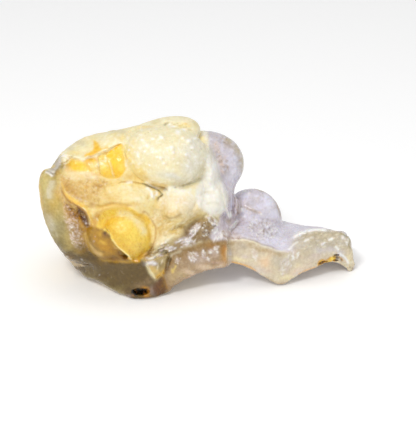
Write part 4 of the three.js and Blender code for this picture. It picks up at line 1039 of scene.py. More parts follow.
def right_crust():
    """The thin bent slab: its broken front, lavender top, and the tip with its small hollow."""
    knobs(0.8, (255, 256, 3, 0.25), (236, 247, 3, 0.2), (271, 262, 6, 0.2), (262, 268, 5, -0.25),
          (286, 266, 5, 0.3), (280, 272, 4, 0.25), (297, 257, 4, 0.3), (302, 262, 5, -0.25),
          (312, 252, 5, 0.2))
    ribs(0.5, 0.5, [(292, 238.6), (297, 234.6), (305.7, 231.6), (317, 229.8), (328.6, 230.6)])
    ribs(-0.35, 0.9, [(300, 243), (308, 237.5), (318, 235), (330, 234), (339, 234)])
    ribs(0.45, 0.5, [(317, 246), (323, 243), (330, 241), (338, 236)],
         [(300, 252), (308, 246.5), (318, 243.5)])
    ribs(-0.3, 0.7, [(318, 249), (328, 246.5), (338, 245)])
    ribs(0.35, 0.6, [(333, 250), (338, 253.5), (344, 259), (349, 265)])
    bumps(-0.6, (352.4, 247, 2, 1.8), (346.5, 236, 1.2, 1), (355, 258, 1.6, 2))
    bumps(0.5, (349.4, 241, 1.6, 1.8), (354, 264, 1.4, 2), (343, 233.6, 1.4, 1.2))
    top = inside(PLATEAU, 1.0)
    paint(top, mix(LAVENDER, LILAC, 0.3))
    dabs(MAUVE, 0.35, (258, 228, 9, 5), (240, 222, 6, 6), (258, 237, 8, 4), (236, 233, 5, 3))
    dabs(FROST, 0.6, (272, 240, 9, 6), (282, 243, 6, 6), (283, 231, 6, 4), (290, 226, 8, 3, 15))
    dabs(STONE, 0.6, (296, 240, 6, 5, -30), (303, 236, 7, 4, -15))
    chips(PLATEAU, 150, 68, FROST, 0.5, 1.5, 0.8, 0.04)
    specks = [(250, 220), (262, 219), (276, 222), (279, 231), (272, 238), (258, 240), (250, 233)]
    chips(specks, 90, 69, TAUPE, 0.6, 0.9, 0.55, -0.1)
    chips(specks, 70, 110, WHITE, 0.7, 1.0, 0.55, 0.12)
    chips([(234, 222), (250, 218), (256, 230), (250, 238), (238, 238)], 40, 111, CLAY, 0.35, 1.2, 0.4,
          -0.05, 20)
    mark(top, specks=0.25, grain=0.45, gloss=0.8)
    face = inside(CRUST_FACE, 0.6)
    paint(face, mix(BEIGE, STONE, 0.3))
    dabs(mix(CLAY, KHAKI, 0.4), 0.75, (234, 244.6, 9, 3), (246, 245.6, 9, 3, -8), (262, 249.4, 9, 3, 15),
         (276, 254, 7, 3, 15))
    dabs(PINKISH, 0.6, (254.5, 254.5, 3, 5), (245, 257, 4, 3), (312, 256, 9, 5))
    dabs(mix(PEACH, TANGERINE, 0.12), 0.95, (266, 262, 7, 7), (298, 270, 9, 2.6, -25))
    dabs(ROSE, 0.7, (268, 270, 4, 1.8))
    dabs(CREAM, 0.7, (287, 277, 7, 3), (238, 259.6, 11, 2.4, 6), (298, 266, 5, 3), (350, 260, 3, 8))
    dabs(mix(LILAC, PEARL, 0.3), 0.8, (332, 249, 9, 4), (319, 250, 7, 4), (341, 254, 4, 5))
    dabs(mix(STONE, KHAKI, 0.15), 0.75, (277, 264, 6, 8, -30), (286, 258, 5, 3), (308, 254, 8, 4, -20))
    chips(CRUST_FACE, 150, 70, IVORY, 0.3, 1.7, 0.9)
    chips(CRUST_FACE, 80, 71, CLAY, 0.2, 1.5, 0.8)
    rough = [(286, 255), (293, 250), (300, 253), (297, 258), (291, 266), (284, 274), (279, 272), (281, 264)]
    chips(rough, 34, 72, PINKISH, 0.7, 1.8, 0.7, 0.12, -50)
    chips(rough, 34, 112, WHITE, 0.85, 1.5, 0.5, 0.15, -50)
    chips([(252, 249), (256, 249), (257, 260), (253, 260)], 9, 113, WHITE, 0.6, 1.2, 0.6, 0.08)
    strokes(TANGERINE, 0.65, 0.3, [(229, 262.3), (240, 264.4), (250, 267.6), (258, 272)],
            [(298, 275), (308, 270.5), (316, 267)])
    strokes(CLAY, 0.5, 0.25, [(262, 275), (272, 281.6), (281, 283.6), (290, 280)])
    # painted highlight along the slab's upper edge
    strokes(IVORY, 0.5, 0.2, [(226, 240.3), (243, 240.0), (260, 243.6), (276, 250), (290, 251.6)])
    strokes(TAUPE, 0.5, 0.22, [(224, 238.6), (236, 237.8), (250, 239.4), (264, 243.8), (278, 249.4)])
    tip = [(294, 246), (302, 238), (308, 231), (318, 227), (332, 228), (344, 233), (351, 239), (350, 247),
           (338, 248), (320, 247), (306, 250)]
    paint(inside(tip, 1.0), mix(STONE, CLAY, 0.25), 0.9)
    dabs(mix(STONE, BEIGE, 0.5), 0.5, (306, 239, 6, 3, -20), (324, 236, 10, 3), (338, 238, 5, 3))
    chips(tip, 60, 73, mix(LILAC, IVORY, 0.5), 0.5, 1.8, 0.7, 0.05, -10)
    chips(tip, 40, 74, IVORY, 0.6, 1.4, 0.5, 0.08, -10)
    # painted highlights along the tip's ridges
    strokes(WHITE, 1.0, 0.5, [(292, 238.6), (297, 234.6), (305.7, 231.4), (317, 229.7), (328.6, 230.6)])
    strokes(WHITE, 0.9, 0.35, [(320.5, 244.5), (325.5, 242.2)], [(328, 240.8), (333.6, 238.2)],
            [(304, 242), (309, 240)], [(340, 252), (346, 258), (350, 265)],
            [(288, 250), (293, 246), (300, 241.6)], [(335, 246), (340, 250)])
    shine = [(340, 235), (345, 234), (349.6, 239), (348, 244), (343, 240)]
    chips(shine, 12, 114, WHITE, 0.9, 1.5, 0.7, 0.15, 40)
    strokes(LICHEN, 0.8, 0.25, [(338, 233), (344, 235.4), (349.6, 239.6), (349, 244.6), (352, 250)])
    gold = [(317, 265.4), (318, 261.6), (322, 259.6), (326, 261), (330, 257.6), (335, 255.8), (336, 259.6),
            (331, 264), (326, 262.8), (321, 264.6)]
    paint(inside(gold, 0.25), mix(GOLD, AMBER, 0.25), 0.95)
    dabs(SUN, 0.8, (329, 261, 1.6, 1.2), (332.6, 259, 1.2, 1))
    strokes(AMBER, 0.85, 0.25, [(317, 264.8), (319.6, 260.6), (324, 260.4), (328, 259.8), (331, 256.8)],
            [(338, 256), (341.5, 259), (342.4, 262.6)])
    # painted shade in the tip's small hollow
    dabs(HOLLOW_SHADE, 0.95, (337.6, 258, 2.4, 1.4, -20), (333.8, 257, 1, 0.7), (322, 261.6, 1.2, 0.7))
    dabs(UMBER, 0.8, (341, 260.5, 1.2, 1.8), (319.6, 263.4, 0.9, 1.1), (353, 268.5, 1.1),
         (350.4, 267, 1, 0.7))
    dabs(LILAC, 0.95, (323.6, 263.4, 1.8, 0.9), (321, 263, 0.8))
    mark(inside(tip, 1.0), grain=0.45, gloss=0.9)
    mark(face, grain=0.25, gloss=0.8)


def lavender():
    """The two lavender bulbs, the wrinkled neck, and the glassy knob and drip at its foot."""
    ribs(0.35, 0.4, [(222, 186), (225, 198), (228, 210), (230, 224)], [(236, 194), (239, 204), (240, 214)])
    ribs(-0.2, 0.4, [(230, 190), (231.5, 200), (233, 212), (232, 222)],
         [(226, 192), (228.5, 203), (231, 216)])
    bumps(1.2, (237.5, 207, 4, 11))
    lift(beside([(229, 230), (233.5, 225.5), (238.5, 220.5)], 1.5, 0.25, 0.2), 0.6)
    ribs(-0.2, 0.5, [(241, 206), (246, 209.5), (252, 212.5), (257, 217), (266, 221), (275, 223)])
    knobs(1.0, (258, 224, 3.5, 0.3), (264, 230, 3, 0.3), (270, 225, 3, 0.3), (260, 236, 2.5, 0.3),
          (252, 232, 2.5, 0.2), (245, 228, 3, 0.2), (268, 238, 2.5, 0.25), (276, 231, 3, 0.2),
          (254, 194, 4, -0.25), (262, 200, 5, -0.2), (250, 203, 5, -0.25), (270, 208, 4, 0.2),
          (224, 142, 4, -0.2), (231, 152, 5, 0.2), (221, 160, 4, 0.2), (232, 166, 4, -0.2),
          (225, 172, 4, -0.2), (216, 145, 3, 0.15))
    tall = inside(TALL_BULB, 0.8)
    paint(tall, HEATHER)
    dabs(mix(STONE, TAUPE, 0.3), 0.85, (238, 149, 5, 9, -30), (242, 162, 3, 11), (230, 140, 9, 4, 35))
    dabs(mix(LILAC, FROST, 0.5), 0.85, (229.5, 160, 4, 11, -12), (235, 171, 3.4, 8), (230, 179, 5, 6),
         (222, 148, 2.4, 6))
    dabs(mix(PINKISH, PEACH, 0.2), 0.6, (221, 162, 4, 9, 10), (215, 147, 3, 5))
    chips(TALL_BULB, 110, 75, FROST, 0.45, 1.6, 0.8)
    chips(TALL_BULB, 50, 76, CLAY, 0.22, 1.6, 0.6)
    dabs(FROST, 0.7, (236, 158, 1.6, 3, -20), (232, 150, 2, 2.4), (225, 137, 2.2, 1.4), (219, 134, 2, 1.4))
    strokes(TAUPE, 0.5, 0.22, [(221.4, 137), (224, 135.4), (226.6, 138), (225, 142), (222, 141)],
            [(218, 133), (221, 134.6)])
    dashes = [(214, 143), (218, 143), (221, 152), (226, 158), (229, 168), (226, 173), (220, 172),
              (218, 162), (216, 152)]
    chips(dashes, 46, 60, mix(TAUPE, MAUVE, 0.2), 0.75, 1.2, 0.45, -0.1, -35)
    chips(dashes, 30, 115, mix(PINKISH, PEACH, 0.3), 0.7, 1.3, 0.6, 0.08)
    strokes(TAUPE, 0.75, 0.3, [(210, 128.5), (222, 131.5), (233, 138), (241, 147.5), (244.5, 158),
                               (243.5, 169), (239, 181)])
    mark(tall, gloss=0.8)
    mark(inside(dashes, 1.0), grain=0.6)
    neck = inside(NECK, 0.8)
    paint(neck, mix(MAUVE, LILAC, 0.4), 0.95)
    dabs(LAVENDER, 0.9, (231, 186, 4, 7), (238, 192, 3, 4))
    dabs(BEIGE, 0.5, (237, 212, 3, 6), (226, 200, 2, 6))
    chips(NECK, 40, 61, FROST, 0.6, 2.2, 0.6, 0.08, 75)
    strokes(mix(UMBER, TAUPE, 0.5), 0.6, 0.2, [(228.5, 194), (231, 206), (231.5, 216)],
            [(235.5, 195), (238, 205), (237, 214)], [(232.6, 192), (234.4, 200), (234.6, 208)])
    strokes(TAUPE, 0.6, 0.3, [(225, 190), (227.5, 199), (226, 208)],
            [(239.6, 196), (241.4, 204), (240.4, 212)])
    # painted highlights: white gloss on the neck's wrinkles
    strokes(WHITE, 0.95, 0.35, [(226, 206), (227.5, 212), (229.5, 218)], [(230, 210), (231, 216), (230, 219)],
            [(241.6, 208), (242.4, 213)], [(222, 208), (219, 213)])
    dabs(UMBER, 0.7, (229.5, 221, 1.3, 1.8), (226, 218, 0.8, 1.2), (238, 213.6, 1, 1.6))
    mark(neck, gloss=1.0, grain=0.3)
    low = inside(ROUND_BULB, 0.8)
    paint(low, mix(LILAC, LAVENDER, 0.4))
    dabs(FROST, 0.85, (246, 196, 4, 4), (269, 203, 6, 7), (276, 214, 4, 6), (257, 207, 4, 2.4),
         (264, 197, 4, 4))
    dabs(mix(HEATHER, CLAY, 0.3), 0.75, (250, 192, 4, 2.4), (255, 199, 4, 3, 30), (250, 204, 6, 3, 20),
         (260, 190.6, 4, 1.4))
    dabs(ROSE, 0.35, (247, 207, 4, 2.5, 25), (244, 203, 2, 4))
    chips(ROUND_BULB, 110, 77, FROST, 0.5, 1.6, 0.8)
    chips(ROUND_BULB, 60, 78, mix(HEATHER, CLAY, 0.3), 0.45, 1.5, 0.7)
    dabs(WHITE, 0.8, (249, 194, 1.6, 1.2), (244, 191.6, 2, 1), (260.7, 213.6, 1.2, 1))
    strokes(TAUPE, 0.75, 0.28, [(241, 190), (249, 188), (259, 188.8), (268, 193), (276, 202), (281, 214),
                                (283, 222)])
    strokes(mix(TAUPE, CLAY, 0.5), 0.55, 0.5,
            [(243, 205.4), (247, 209), (252, 211.2), (257, 212.4), (261, 214)], taper=0.3)
    dabs(PEACH, 0.7, (259.6, 212, 1.6, 1))
    mark(low, specks=0.1, gloss=0.9)
    drip = [(212, 232), (218, 226), (222, 230), (224, 238), (219, 241.5), (212, 240)]
    paint(inside(drip, 0.5), mix(LILAC, PINKISH, 0.4), 0.95)
    # painted highlights on the glassy drip
    chips(drip, 20, 116, WHITE, 0.8, 1.6, 0.5, 0.12, -60)
    dabs(WHITE, 0.95, (221.3, 237, 2.4, 2.4), (215.5, 233, 0.8, 3, 30))
    mark(inside(drip, 0.8), gloss=1.0)
    fine = [(223, 229), (232, 230), (240, 235), (240, 239), (226, 240), (222, 235)]
    paint(inside(fine, 0.8), mix(PINKISH, TAUPE, 0.2), 0.8)
    chips(fine, 46, 79, mix(TAUPE, TOFFEE, 0.3), 0.6, 1.3, 0.35, -0.06, 35)
    chips(fine, 36, 80, WHITE, 0.7, 1.3, 0.4, 0.08, 35)
    # painted highlight on the small ledge's lit edge, and painted shade below it
    strokes(WHITE, 0.95, 0.4, [(229.5, 229), (234, 224.7), (238.5, 220)])
    strokes(mix(UMBER, TAUPE, 0.4), 0.6, 0.25, [(231, 230.8), (235.5, 226.6), (240, 222)])


def tone():
    """Broad corrections of tone, laid over the finished regions."""
    dabs(mix(FERN, KHAKI, 0.6), 0.6, (47, 214, 6, 10, 15))
    dabs(LICHEN, 0.6, (55, 230, 6, 7, 30))
    # painted shade in part: darker low on the lobe
    dabs(FERN, 0.6, (62, 243, 8, 5, 35))
    dabs(CLAY, 0.6, (77, 235, 4, 7))
    # painted shade in part: darker low on the lobe
    dabs(mix(FERN, TAUPE, 0.4), 0.7, (80, 248, 7, 4, 15))
    dabs(APRICOT, 0.35, (66, 212, 4, 6))
    dabs(mix(SAND, TOFFEE, 0.5), 0.55, (75, 190, 9, 5, 25))
    dabs(SAND, 0.55, (90, 199, 8, 4, 15), (110, 195, 8, 4, 5), (170, 212, 7, 4, 10), (130, 177, 8, 3))
    strokes(mix(HONEY, TOFFEE, 0.3), 0.6, 1.1,
            [(93, 209), (100, 207), (110, 205.5), (120, 205.5), (130, 207)])
    dabs(WHITE, 0.55, (178, 190, 9, 4), (215, 166, 3, 8, -10))
    dabs(BONE, 0.7, (192, 204, 5, 8))
    # painted shade: the great bulb's right side greyer
    dabs(PEARL, 0.45, (200, 150, 5, 14), (190, 172, 8, 7, 35))
    dabs(PEARL, 0.85, (204.5, 135, 3, 9))
    dabs(BRONZE, 0.6, (92, 240, 6, 8, -20))
    dabs(OCHRE, 0.3, (98, 236, 3, 4))
    dabs(mix(HONEY, BRONZE, 0.25), 0.5, (121, 240, 8, 6, 30))
    dabs(CLAY, 0.5, (150, 256, 6, 2.5, -20))
    dabs(TOFFEE, 0.5, (224, 256, 4, 8), (211, 246, 6, 3))
    # painted shade: the keel darker still
    dabs(OLIVE, 0.6, (104, 282, 14, 6, 20), (86, 270, 10, 6, 30))
    dabs(mix(STONE, HEATHER, 0.5), 0.5, (281, 261, 12, 8, 10), (300, 246, 10, 5), (242, 246, 8, 4))
    dabs(mix(BEIGE, FROST, 0.4), 0.5, (261, 270, 9, 5, 25), (300, 270, 10, 6, -30))
    dabs(CLAY, 0.3, (228, 143, 5, 7, -20))
    dabs(HEATHER, 0.4, (250, 203, 8, 6))
    dabs(MAUVE, 0.4, (241, 222, 6, 4), (235, 235, 6, 3))
    dabs(HEATHER, 0.4, (286, 235, 8, 4))
    dabs(STRAW, 0.5, (104, 160, 3, 3), (87, 168, 3, 3))
    dabs(mix(AMBER, GOLD, 0.5), 0.45, (111, 225, 4, 7, 20))
    dabs(HONEY, 0.5, (118, 246, 5, 3, 35))
    dabs(SAND, 0.5, (160, 236, 4, 7))
    dabs(IVORY, 0.4, (157, 248, 3, 3))
    dabs(CLAY, 0.4, (148, 262, 3, 2), (172, 275, 4, 6))
    dabs(FROST, 0.5, (231, 205, 3, 5))
    dabs(BEIGE, 0.5, (229, 222, 3, 3))
    dabs(UMBER, 0.5, (337, 258, 2.5, 2))
    dabs(WHITE, 0.65, (208, 160, 3, 9, -8))
    dabs(OCHRE, 0.5, (163, 283, 2, 6, 10))
    for dusty in ((78, 244, 6, 8), (82, 262, 10, 5), (66, 250, 6, 4), (180, 244, 5, 3)):  # less dust there
        mark(around(*dusty), 0.6, frost=0.0)


crown()
left_lobe()
middle()
left_lip()
block()
keel()
dome()
right_crust()
lavender()
white_right()
great_bulb()
tone()

# ---- the distance field --------------------------------------------------------------------------


def smooth_min(a, b, width):
    """The lower of two fields, rounded off where they meet."""
    if not width:
        return np.minimum(a, b)
    close = np.maximum(width - np.abs(a - b), 0.0) / width
    return np.minimum(a, b) - 0.25 * width * close * close


def smooth_max(a, b, width):
    return -smooth_min(-a, -b, width)


def ellipsoid(points, at, radii, lean):
    turn = math.radians(lean)
    off = points - np.array(at, float)
    x = off[:, 0] * math.cos(turn) - off[:, 2] * math.sin(turn)
    z = off[:, 0] * math.sin(turn) + off[:, 2] * math.cos(turn)
    scaled = np.stack([x, off[:, 1], z], -1) / radii
    far = np.linalg.norm(scaled, axis=1)
    slope = np.linalg.norm(scaled / radii, axis=1)
    return far * (far - 1.0) / np.maximum(slope, 1e-6)


def edge_at(rows, x):
    """y, top and bottom of a slab's edge at x, smooth between the rows of its table."""
    table = np.array(rows, float)
    knots = table[:, 0]
    x = np.clip(x, knots[0], knots[-1])
    i = np.clip(np.searchsorted(knots, x) - 1, 0, len(knots) - 2)
    width = knots[i + 1] - knots[i]
    t = (x - knots[i]) / width
    values = []
    for column in table[:, 1:].T:
        slope = np.gradient(column, knots)
        start = (2 * t**3 - 3 * t**2 + 1) * column[i] + (t**3 - 2 * t**2 + t) * width * slope[i]
        end = (3 * t**2 - 2 * t**3) * column[i + 1] + (t**3 - t**2) * width * slope[i + 1]
        values.append(start + end)
    return values


FAR = 30.0  # mm, past which distances aren't worked out
LOWEST = -2.0  # a slab's underside goes down to this at most
SLANT = {"faces": 0.88, "sides": 0.9}  # brings the fields of slanting faces near to true distance
ARCH_FALLS = (37.0, 54.0)  # along x, where the right crust bows up less and less


def slab(points, front, back, arch=0.0, brow=1.2, end=1.0):
    """A slab between its front and back edges; it bows up by arch, and brow rounds its upper edge."""
    x, y, z = points.T
    near_y, near_top, near_bottom = edge_at(front, x)
    far_y, far_top, far_bottom = edge_at(back, x)
    part = np.clip((y - near_y) / (far_y - near_y), -0.1, 1.1)
    bow = 4.0 * part * (1.0 - part) * arch * np.clip((ARCH_FALLS[1] - x) / np.ptp(ARCH_FALLS), 0.0, 1.0)
    top = mix(near_top, far_top, part) + bow
    bottom = np.maximum(mix(near_bottom, far_bottom, part) + 0.6 * bow, LOWEST)
    left = mix(front[0][0], back[0][0], part)
    right = mix(front[-1][0], back[-1][0], part)
    faces = smooth_max(z - top, bottom - z, 1.2) * SLANT["faces"]
    sides = smooth_max(near_y - y, y - far_y, 1.0) * SLANT["sides"]
    return smooth_max(smooth_max(faces, sides, brow), smooth_max(x - right, left - x, 1.0), end)


cells, gap, _, _, within = measure(smooth_line(DOME_OUTLINE, closed=True), FAR)
DOME_FIELD = np.full(len(PLANE), FAR)
DOME_FIELD[cells] = np.where(within, -gap, gap)


def dome_field(points):
    at, radii, lean, _ = DOME
    plane, _ = in_picture(points)
    return smooth_max(ellipsoid(points, at, radii, lean), read(DOME_FIELD, plane), DOME_CUT)


def box_of(at, radii, lean):
    """The box round a lump."""
    turn = math.radians(lean)
    wide = math.hypot(radii[0] * math.cos(turn), radii[2] * math.sin(turn))
    high = math.hypot(radii[0] * math.sin(turn), radii[2] * math.cos(turn))
    half = np.array((wide, radii[1], high))
    return np.array(at) - half, np.array(at) + half


def box_of_slab(front, back):
    table = np.array(front + back, float)
    return table[:, :3].min(0) * (1, 1, 0), table[:, :3].max(0) + (0, 0, 4)


def lump_parts(group):
    """A field, the width of its join and its box, for each lump of a group."""
    parts = []
    for at, radii, lean, join in group.values():
        field_at = lambda points, a=at, r=radii, l=lean: ellipsoid(points, a, r, l)
        parts.append((field_at, join, box_of(at, radii, lean)))
    return parts


def slab_part(front, back, join, **shape):
    return lambda points: slab(points, front, back, **shape), join, box_of_slab(front, back)


PARTS = [
    *lump_parts(MASS),
    (dome_field, DOME[3], box_of(*DOME[:3])),
    *lump_parts(HIDDEN),
    slab_part(RIGHT_CRUST_FRONT, RIGHT_CRUST_BACK, 1.5, arch=3.5, brow=1.5, end=1.0),
    slab_part(BLOCK_FRONT, BLOCK_BACK, 2.0, brow=4.0, end=0.6),
    slab_part(KEEL_FRONT, KEEL_BACK, 0.8, brow=1.2, end=1.5),
]
ROOM = 8.0  # mm; points are taken together by rooms of this size, with only the parts near the room
ROOMS = 100  # more than there are rooms along an axis
NEAR = 5.0  # mm round a room


def base_field(points):
    """Distance to the stone without its low relief, right near its surface and rough elsewhere."""
    field = np.full(len(points), FAR)
    room = np.floor(points / ROOM).astype(int) + ROOMS // 2
    key = (room[:, 0] * ROOMS + room[:, 1]) * ROOMS + room[:, 2]
    order = np.argsort(key, kind="stable")
    for group in np.split(order, np.flatnonzero(np.diff(key[order])) + 1):
        here = points[group]
        low, high = here.min(0) - NEAR, here.max(0) + NEAR
        value = np.full(len(group), FAR)
        for field_at, join, (part_low, part_high) in PARTS:
            if np.all(part_low < high) and np.all(part_high > low):
                value = smooth_min(value, field_at(here), join)
        field[group] = value
    return field


def cut(points, field):
    """The field with its small hollows and the flat that the stone rests on."""
    for at, radii, lean, join in HOLLOWS.values():
        field = smooth_max(field, -ellipsoid(points, at, radii, lean), join)
    return np.maximum(field, -points[:, 2])


LOW = np.array((-34.0, -20.0, -2.0))  # corners of the grid that the field is worked out on
HIGH = np.array((62.0, 28.0, 50.0))
COARSE = 1.2  # mm from point to point, for the first look at what the camera sees
STEP = 0.33  # mm, for the stone's mesh
BLOCK = 4  # grid steps along one side of a block that is filled at once
STEEPEST = 1.4  # the most that a field rises by in 1 mm
RELIEF_ROOM = 0.6  # mm that the low relief may add to it
BATCH = 400000  # points worked out at once
JUST_INSIDE = -0.01  # a value of the field in the skin


def grid_axes(step):
    counts = np.ceil((HIGH - LOW) / step / BLOCK).astype(int) * BLOCK
    return [LOW[i] + step * np.arange(counts[i]) for i in range(3)]


def fill(field_at, step):
    """The field on a regular grid. Only blocks near the surface get more than a rough value."""
    axes = grid_axes(step)
    middles = [axis.reshape(-1, BLOCK).mean(1) for axis in axes]
    rough = field_at(np.stack(np.meshgrid(*middles, indexing="ij"), -1).reshape(-1, 3))
    rough = rough.reshape([len(m) for m in middles])
    reach = 0.5 * math.sqrt(3.0) * BLOCK * step * STEEPEST + RELIEF_ROOM
    blocks = np.argwhere(np.abs(rough) < reach)
    values = rough
    for axis in range(3):
        values = np.repeat(values, BLOCK, axis)
    inner = np.array(list(itertools.product(range(BLOCK), repeat=3)))
    index = (blocks[:, None, :] * BLOCK + inner[None]).reshape(-1, 3)
    points = np.stack([axes[i][index[:, i]] for i in range(3)], -1)
    starts = range(0, len(points), BATCH)
    values[tuple(index.T)] = np.concatenate([field_at(points[i : i + BATCH]) for i in starts])
    return values


def without_pinches(values):
    """The field with corners made solid where its surface would touch itself along an edge."""
    pinches = 1
    while pinches:
        pinches = 0
        for axis in range(3):
            layers = np.moveaxis(values, axis, 0)
            wide, high = layers.shape[1] - 1, layers.shape[2] - 1
            ring = ((0, 0), (0, 1), (1, 1), (1, 0))
            corners = [layers[:, i : wide + i, j : high + j] for i, j in ring]
            a, b, c, d = (corner < 0 for corner in corners)
            pinched = (a == c) & (b == d) & (a != b)
            pinches += pinched.sum()
            for corner in corners:
                corner[pinched & (corner >= 0)] = JUST_INSIDE
    return values


def surface(values, step):
    """Vertices, quads and cells of the zero level: one vertex for each mixed cell, at the mean of the
    places where the cell's edges cross it."""
    solid = values < 0
    wide, deep, high = np.array(values.shape) - 1
    corners = list(itertools.product((0, 1), repeat=3))
    count = np.zeros((wide, deep, high), np.int8)
    for i, j, k in corners:
        count += solid[i : wide + i, j : deep + j, k : high + k]
    mixed = (count > 0) & (count < 8)
    cells = np.argwhere(mixed)
    number = np.full(mixed.shape, -1, np.int64)
    number[mixed] = np.arange(len(cells))
    level = {corner: values[tuple((cells + corner).T)] for corner in corners}
    total = np.zeros((len(cells), 3))
    crossings = np.zeros(len(cells))
    for start in corners:
        for axis in range(3):
            if start[axis]:
                continue
            end = tuple(1 if i == axis else start[i] for i in range(3))
            first, last = level[start], level[end]
            hit = (first < 0) != (last < 0)
            place = np.repeat(np.array(start, float)[None], len(cells), 0)
            place[:, axis] = first / np.where(hit, first - last, 1.0)
            total[hit] += place[hit]
            crossings[hit] += 1
    vertices = (cells + total / crossings[:, None]) * step + LOW
    quads = []
    for axis in range(3):
        u, v = (axis + 1) % 3, (axis + 2) % 3
        lower = [slice(None)] * 3
        upper = [slice(None)] * 3
        lower[axis] = slice(0, -1)
        upper[axis] = slice(1, None)
        edges = np.argwhere(solid[tuple(lower)] != solid[tuple(upper)])
        edges = edges[(edges[:, u] > 0) & (edges[:, v] > 0)]
        outward = solid[tuple(edges.T)]
        ring = []
        for back_u, back_v in ((0, 0), (1, 0), (1, 1), (0, 1)):
            cell = edges.copy()
            cell[:, u] -= back_u
            cell[:, v] -= back_v
            ring.append(number[tuple(cell.T)])
        ring = np.stack(ring, 1)
        ring[~outward] = ring[~outward][:, ::-1]
        quads.append(ring)
    return vertices, np.concatenate(quads), cells


DEPTH_CELL = 1.6  # mm, of the coarse map of what the camera sees first
NOTHING = 99.0  # mm, the depth where the map has nothing
HIDES = (3.0, 6.0)  # mm behind what is seen first, over which the front's features fade away
MERGES = 5.5  # mm behind it, from where the mesh is coarser


def map_cell(plane):
    return np.floor((plane - PLANE_LOW) / DEPTH_CELL).astype(int)


def front_depth(vertices):
    """For each cell of a coarse map of the plane, the depth of what the camera sees there first."""
    plane, depth = in_picture(vertices)
    cell = map_cell(plane)
    size = np.ceil((PLANE_HIGH - PLANE_LOW) / DEPTH_CELL).astype(int)
    nearest = np.full(size, NOTHING)
    on_map = np.all((cell >= 0) & (cell < size), axis=1)
    np.minimum.at(nearest, tuple(cell[on_map].T), depth[on_map])
    return nearest


coarse_vertices, _, _ = surface(fill(lambda p: cut(p, base_field(p)), COARSE), COARSE)
FIRST_SEEN = front_depth(coarse_vertices)


def behind_front(plane, depth):
    """How far behind the first seen surface points lie, by the cell that they are seen in."""
    cell = np.clip(map_cell(plane), 0, np.array(FIRST_SEEN.shape) - 1)
    return depth - FIRST_SEEN[tuple(cell.T)]


def hidden_part(plane, depth):
    """0 for points that the camera sees and 1 for those well behind them."""
    return ramp(behind_front(plane, depth), *HIDES)


def grown(points):
    """Small unevenness that the whole skin has."""
    return 0.16 * clouds(points, 4.0, 11) + 0.06 * noise(points, 1.3, 12)


def pimples(points, size, seed):
    """Round bumps grown side by side: 1 at their tips, and lower down to the creases between them."""
    scaled = points / size
    cell = np.floor(scaled).astype(int)
    places = np.random.default_rng(seed).uniform(0.1, 0.9, (NOISE_CELLS,) * 3 + (3,))
    nearest = np.full(len(points), 4.0)
    for step in itertools.product((-1, 0, 1), repeat=3):
        near = cell + step
        centre = near + places[tuple((near % NOISE_CELLS).T)]
        nearest = np.minimum(nearest, ((scaled - centre) ** 2).sum(1))
    return 1.0 - np.minimum(nearest, 1.0)


SMALL_PIMPLE, LARGE_PIMPLE = 3.4, 6.5  # mm from one to the next
SMALL_HEIGHT, LARGE_HEIGHT = 1.1, 2.6
PIMPLES_SINK = 0.7  # mm that their creases lie below the lump they grow on
PLAIN = 0.6  # the ripeness of places without pimples
BACK_FROM = (6.0, 11.0)  # mm along y, over which the pimples come in
LEFT_FROM = (-27.0, -21.0)  # mm along x, where they come in,
RIGHT_UNTIL = (17.0, 23.0)  # and where they go again


def grapes(points):
    """The pimples on the back of the main mass, larger and smaller ones in patches: their height in mm,
    and how near to their tips the points are."""
    x, y, z = points.T
    height, ripe = np.zeros(len(points)), np.full(len(points), PLAIN)
    back = ramp(y - 0.25 * np.maximum(z - 20.0, 0.0), *BACK_FROM)
    back *= ramp(x, *LEFT_FROM) * (1.0 - ramp(x, *RIGHT_UNTIL))
    there = np.flatnonzero(back)
    place = points[there]
    large = ramp(clouds(place, 13.0, 31), -0.35, 0.25)
    share = mix(pimples(place, SMALL_PIMPLE, 33), pimples(place, LARGE_PIMPLE, 32), large)
    height[there] = back[there] * (mix(SMALL_HEIGHT, LARGE_HEIGHT, large) * share - PIMPLES_SINK)
    ripe[there] = mix(PLAIN, share, back[there])
    return height, ripe


SKIN = 4.0  # mm from the surface, within which its relief is worked out
GRAIN_SIZE = 0.8  # mm


def stone_field(points):
    """Distance to the stone with all of its relief."""
    field = base_field(points)
    close = np.abs(field) < SKIN
    plane, depth = in_picture(points[close])
    rough = 0.04 + 0.16 * read(MARKS["grain"], plane)
    field[close] -= read(RELIEF, plane) * (1.0 - hidden_part(plane, depth)) + grown(points[close])
    field[close] -= grapes(points[close])[0]
    field[close] -= rough * noise(points[close], GRAIN_SIZE, 13)
    return cut(points, field)


def gradient(field_at, points, step=0.12):
    """The field's slope, by differences between the corners of a small tetrahedron."""
    total = np.zeros_like(points)
    for corner in ((1, 1, 1), (1, -1, -1), (-1, 1, -1), (-1, -1, 1)):
        way = np.array(corner, float)
        total += way * field_at(points + step * way)[:, None]
    return total / (4.0 * step)


def largest_piece(quads, count):
    """The quads that hang together with most others, without stray crumbs."""
    label = np.arange(count)
    while True:
        lower = label.copy()
        for corner in range(4):
            np.minimum.at(lower, quads[:, corner], label[quads].min(1))
        lower = lower[lower]
        if np.all(lower == label):
            break
        label = lower
    piece = label[quads[:, 0]]
    return quads[piece == np.bincount(piece).argmax()]


def crowded(quads, count):
    """The vertices of edges that don't have just two faces."""
    sides = np.concatenate([quads[:, [i, (i + 1) % 4]] for i in range(4)])
    sides = np.sort(sides[sides[:, 0] != sides[:, 1]], axis=1)
    key, times = np.unique(sides[:, 0] * count + sides[:, 1], return_counts=True)
    wrong = key[times != 2]
    return np.unique(np.concatenate([wrong // count, wrong % count]))


PAIRS = 1000  # more than there are pairs of cells along an axis


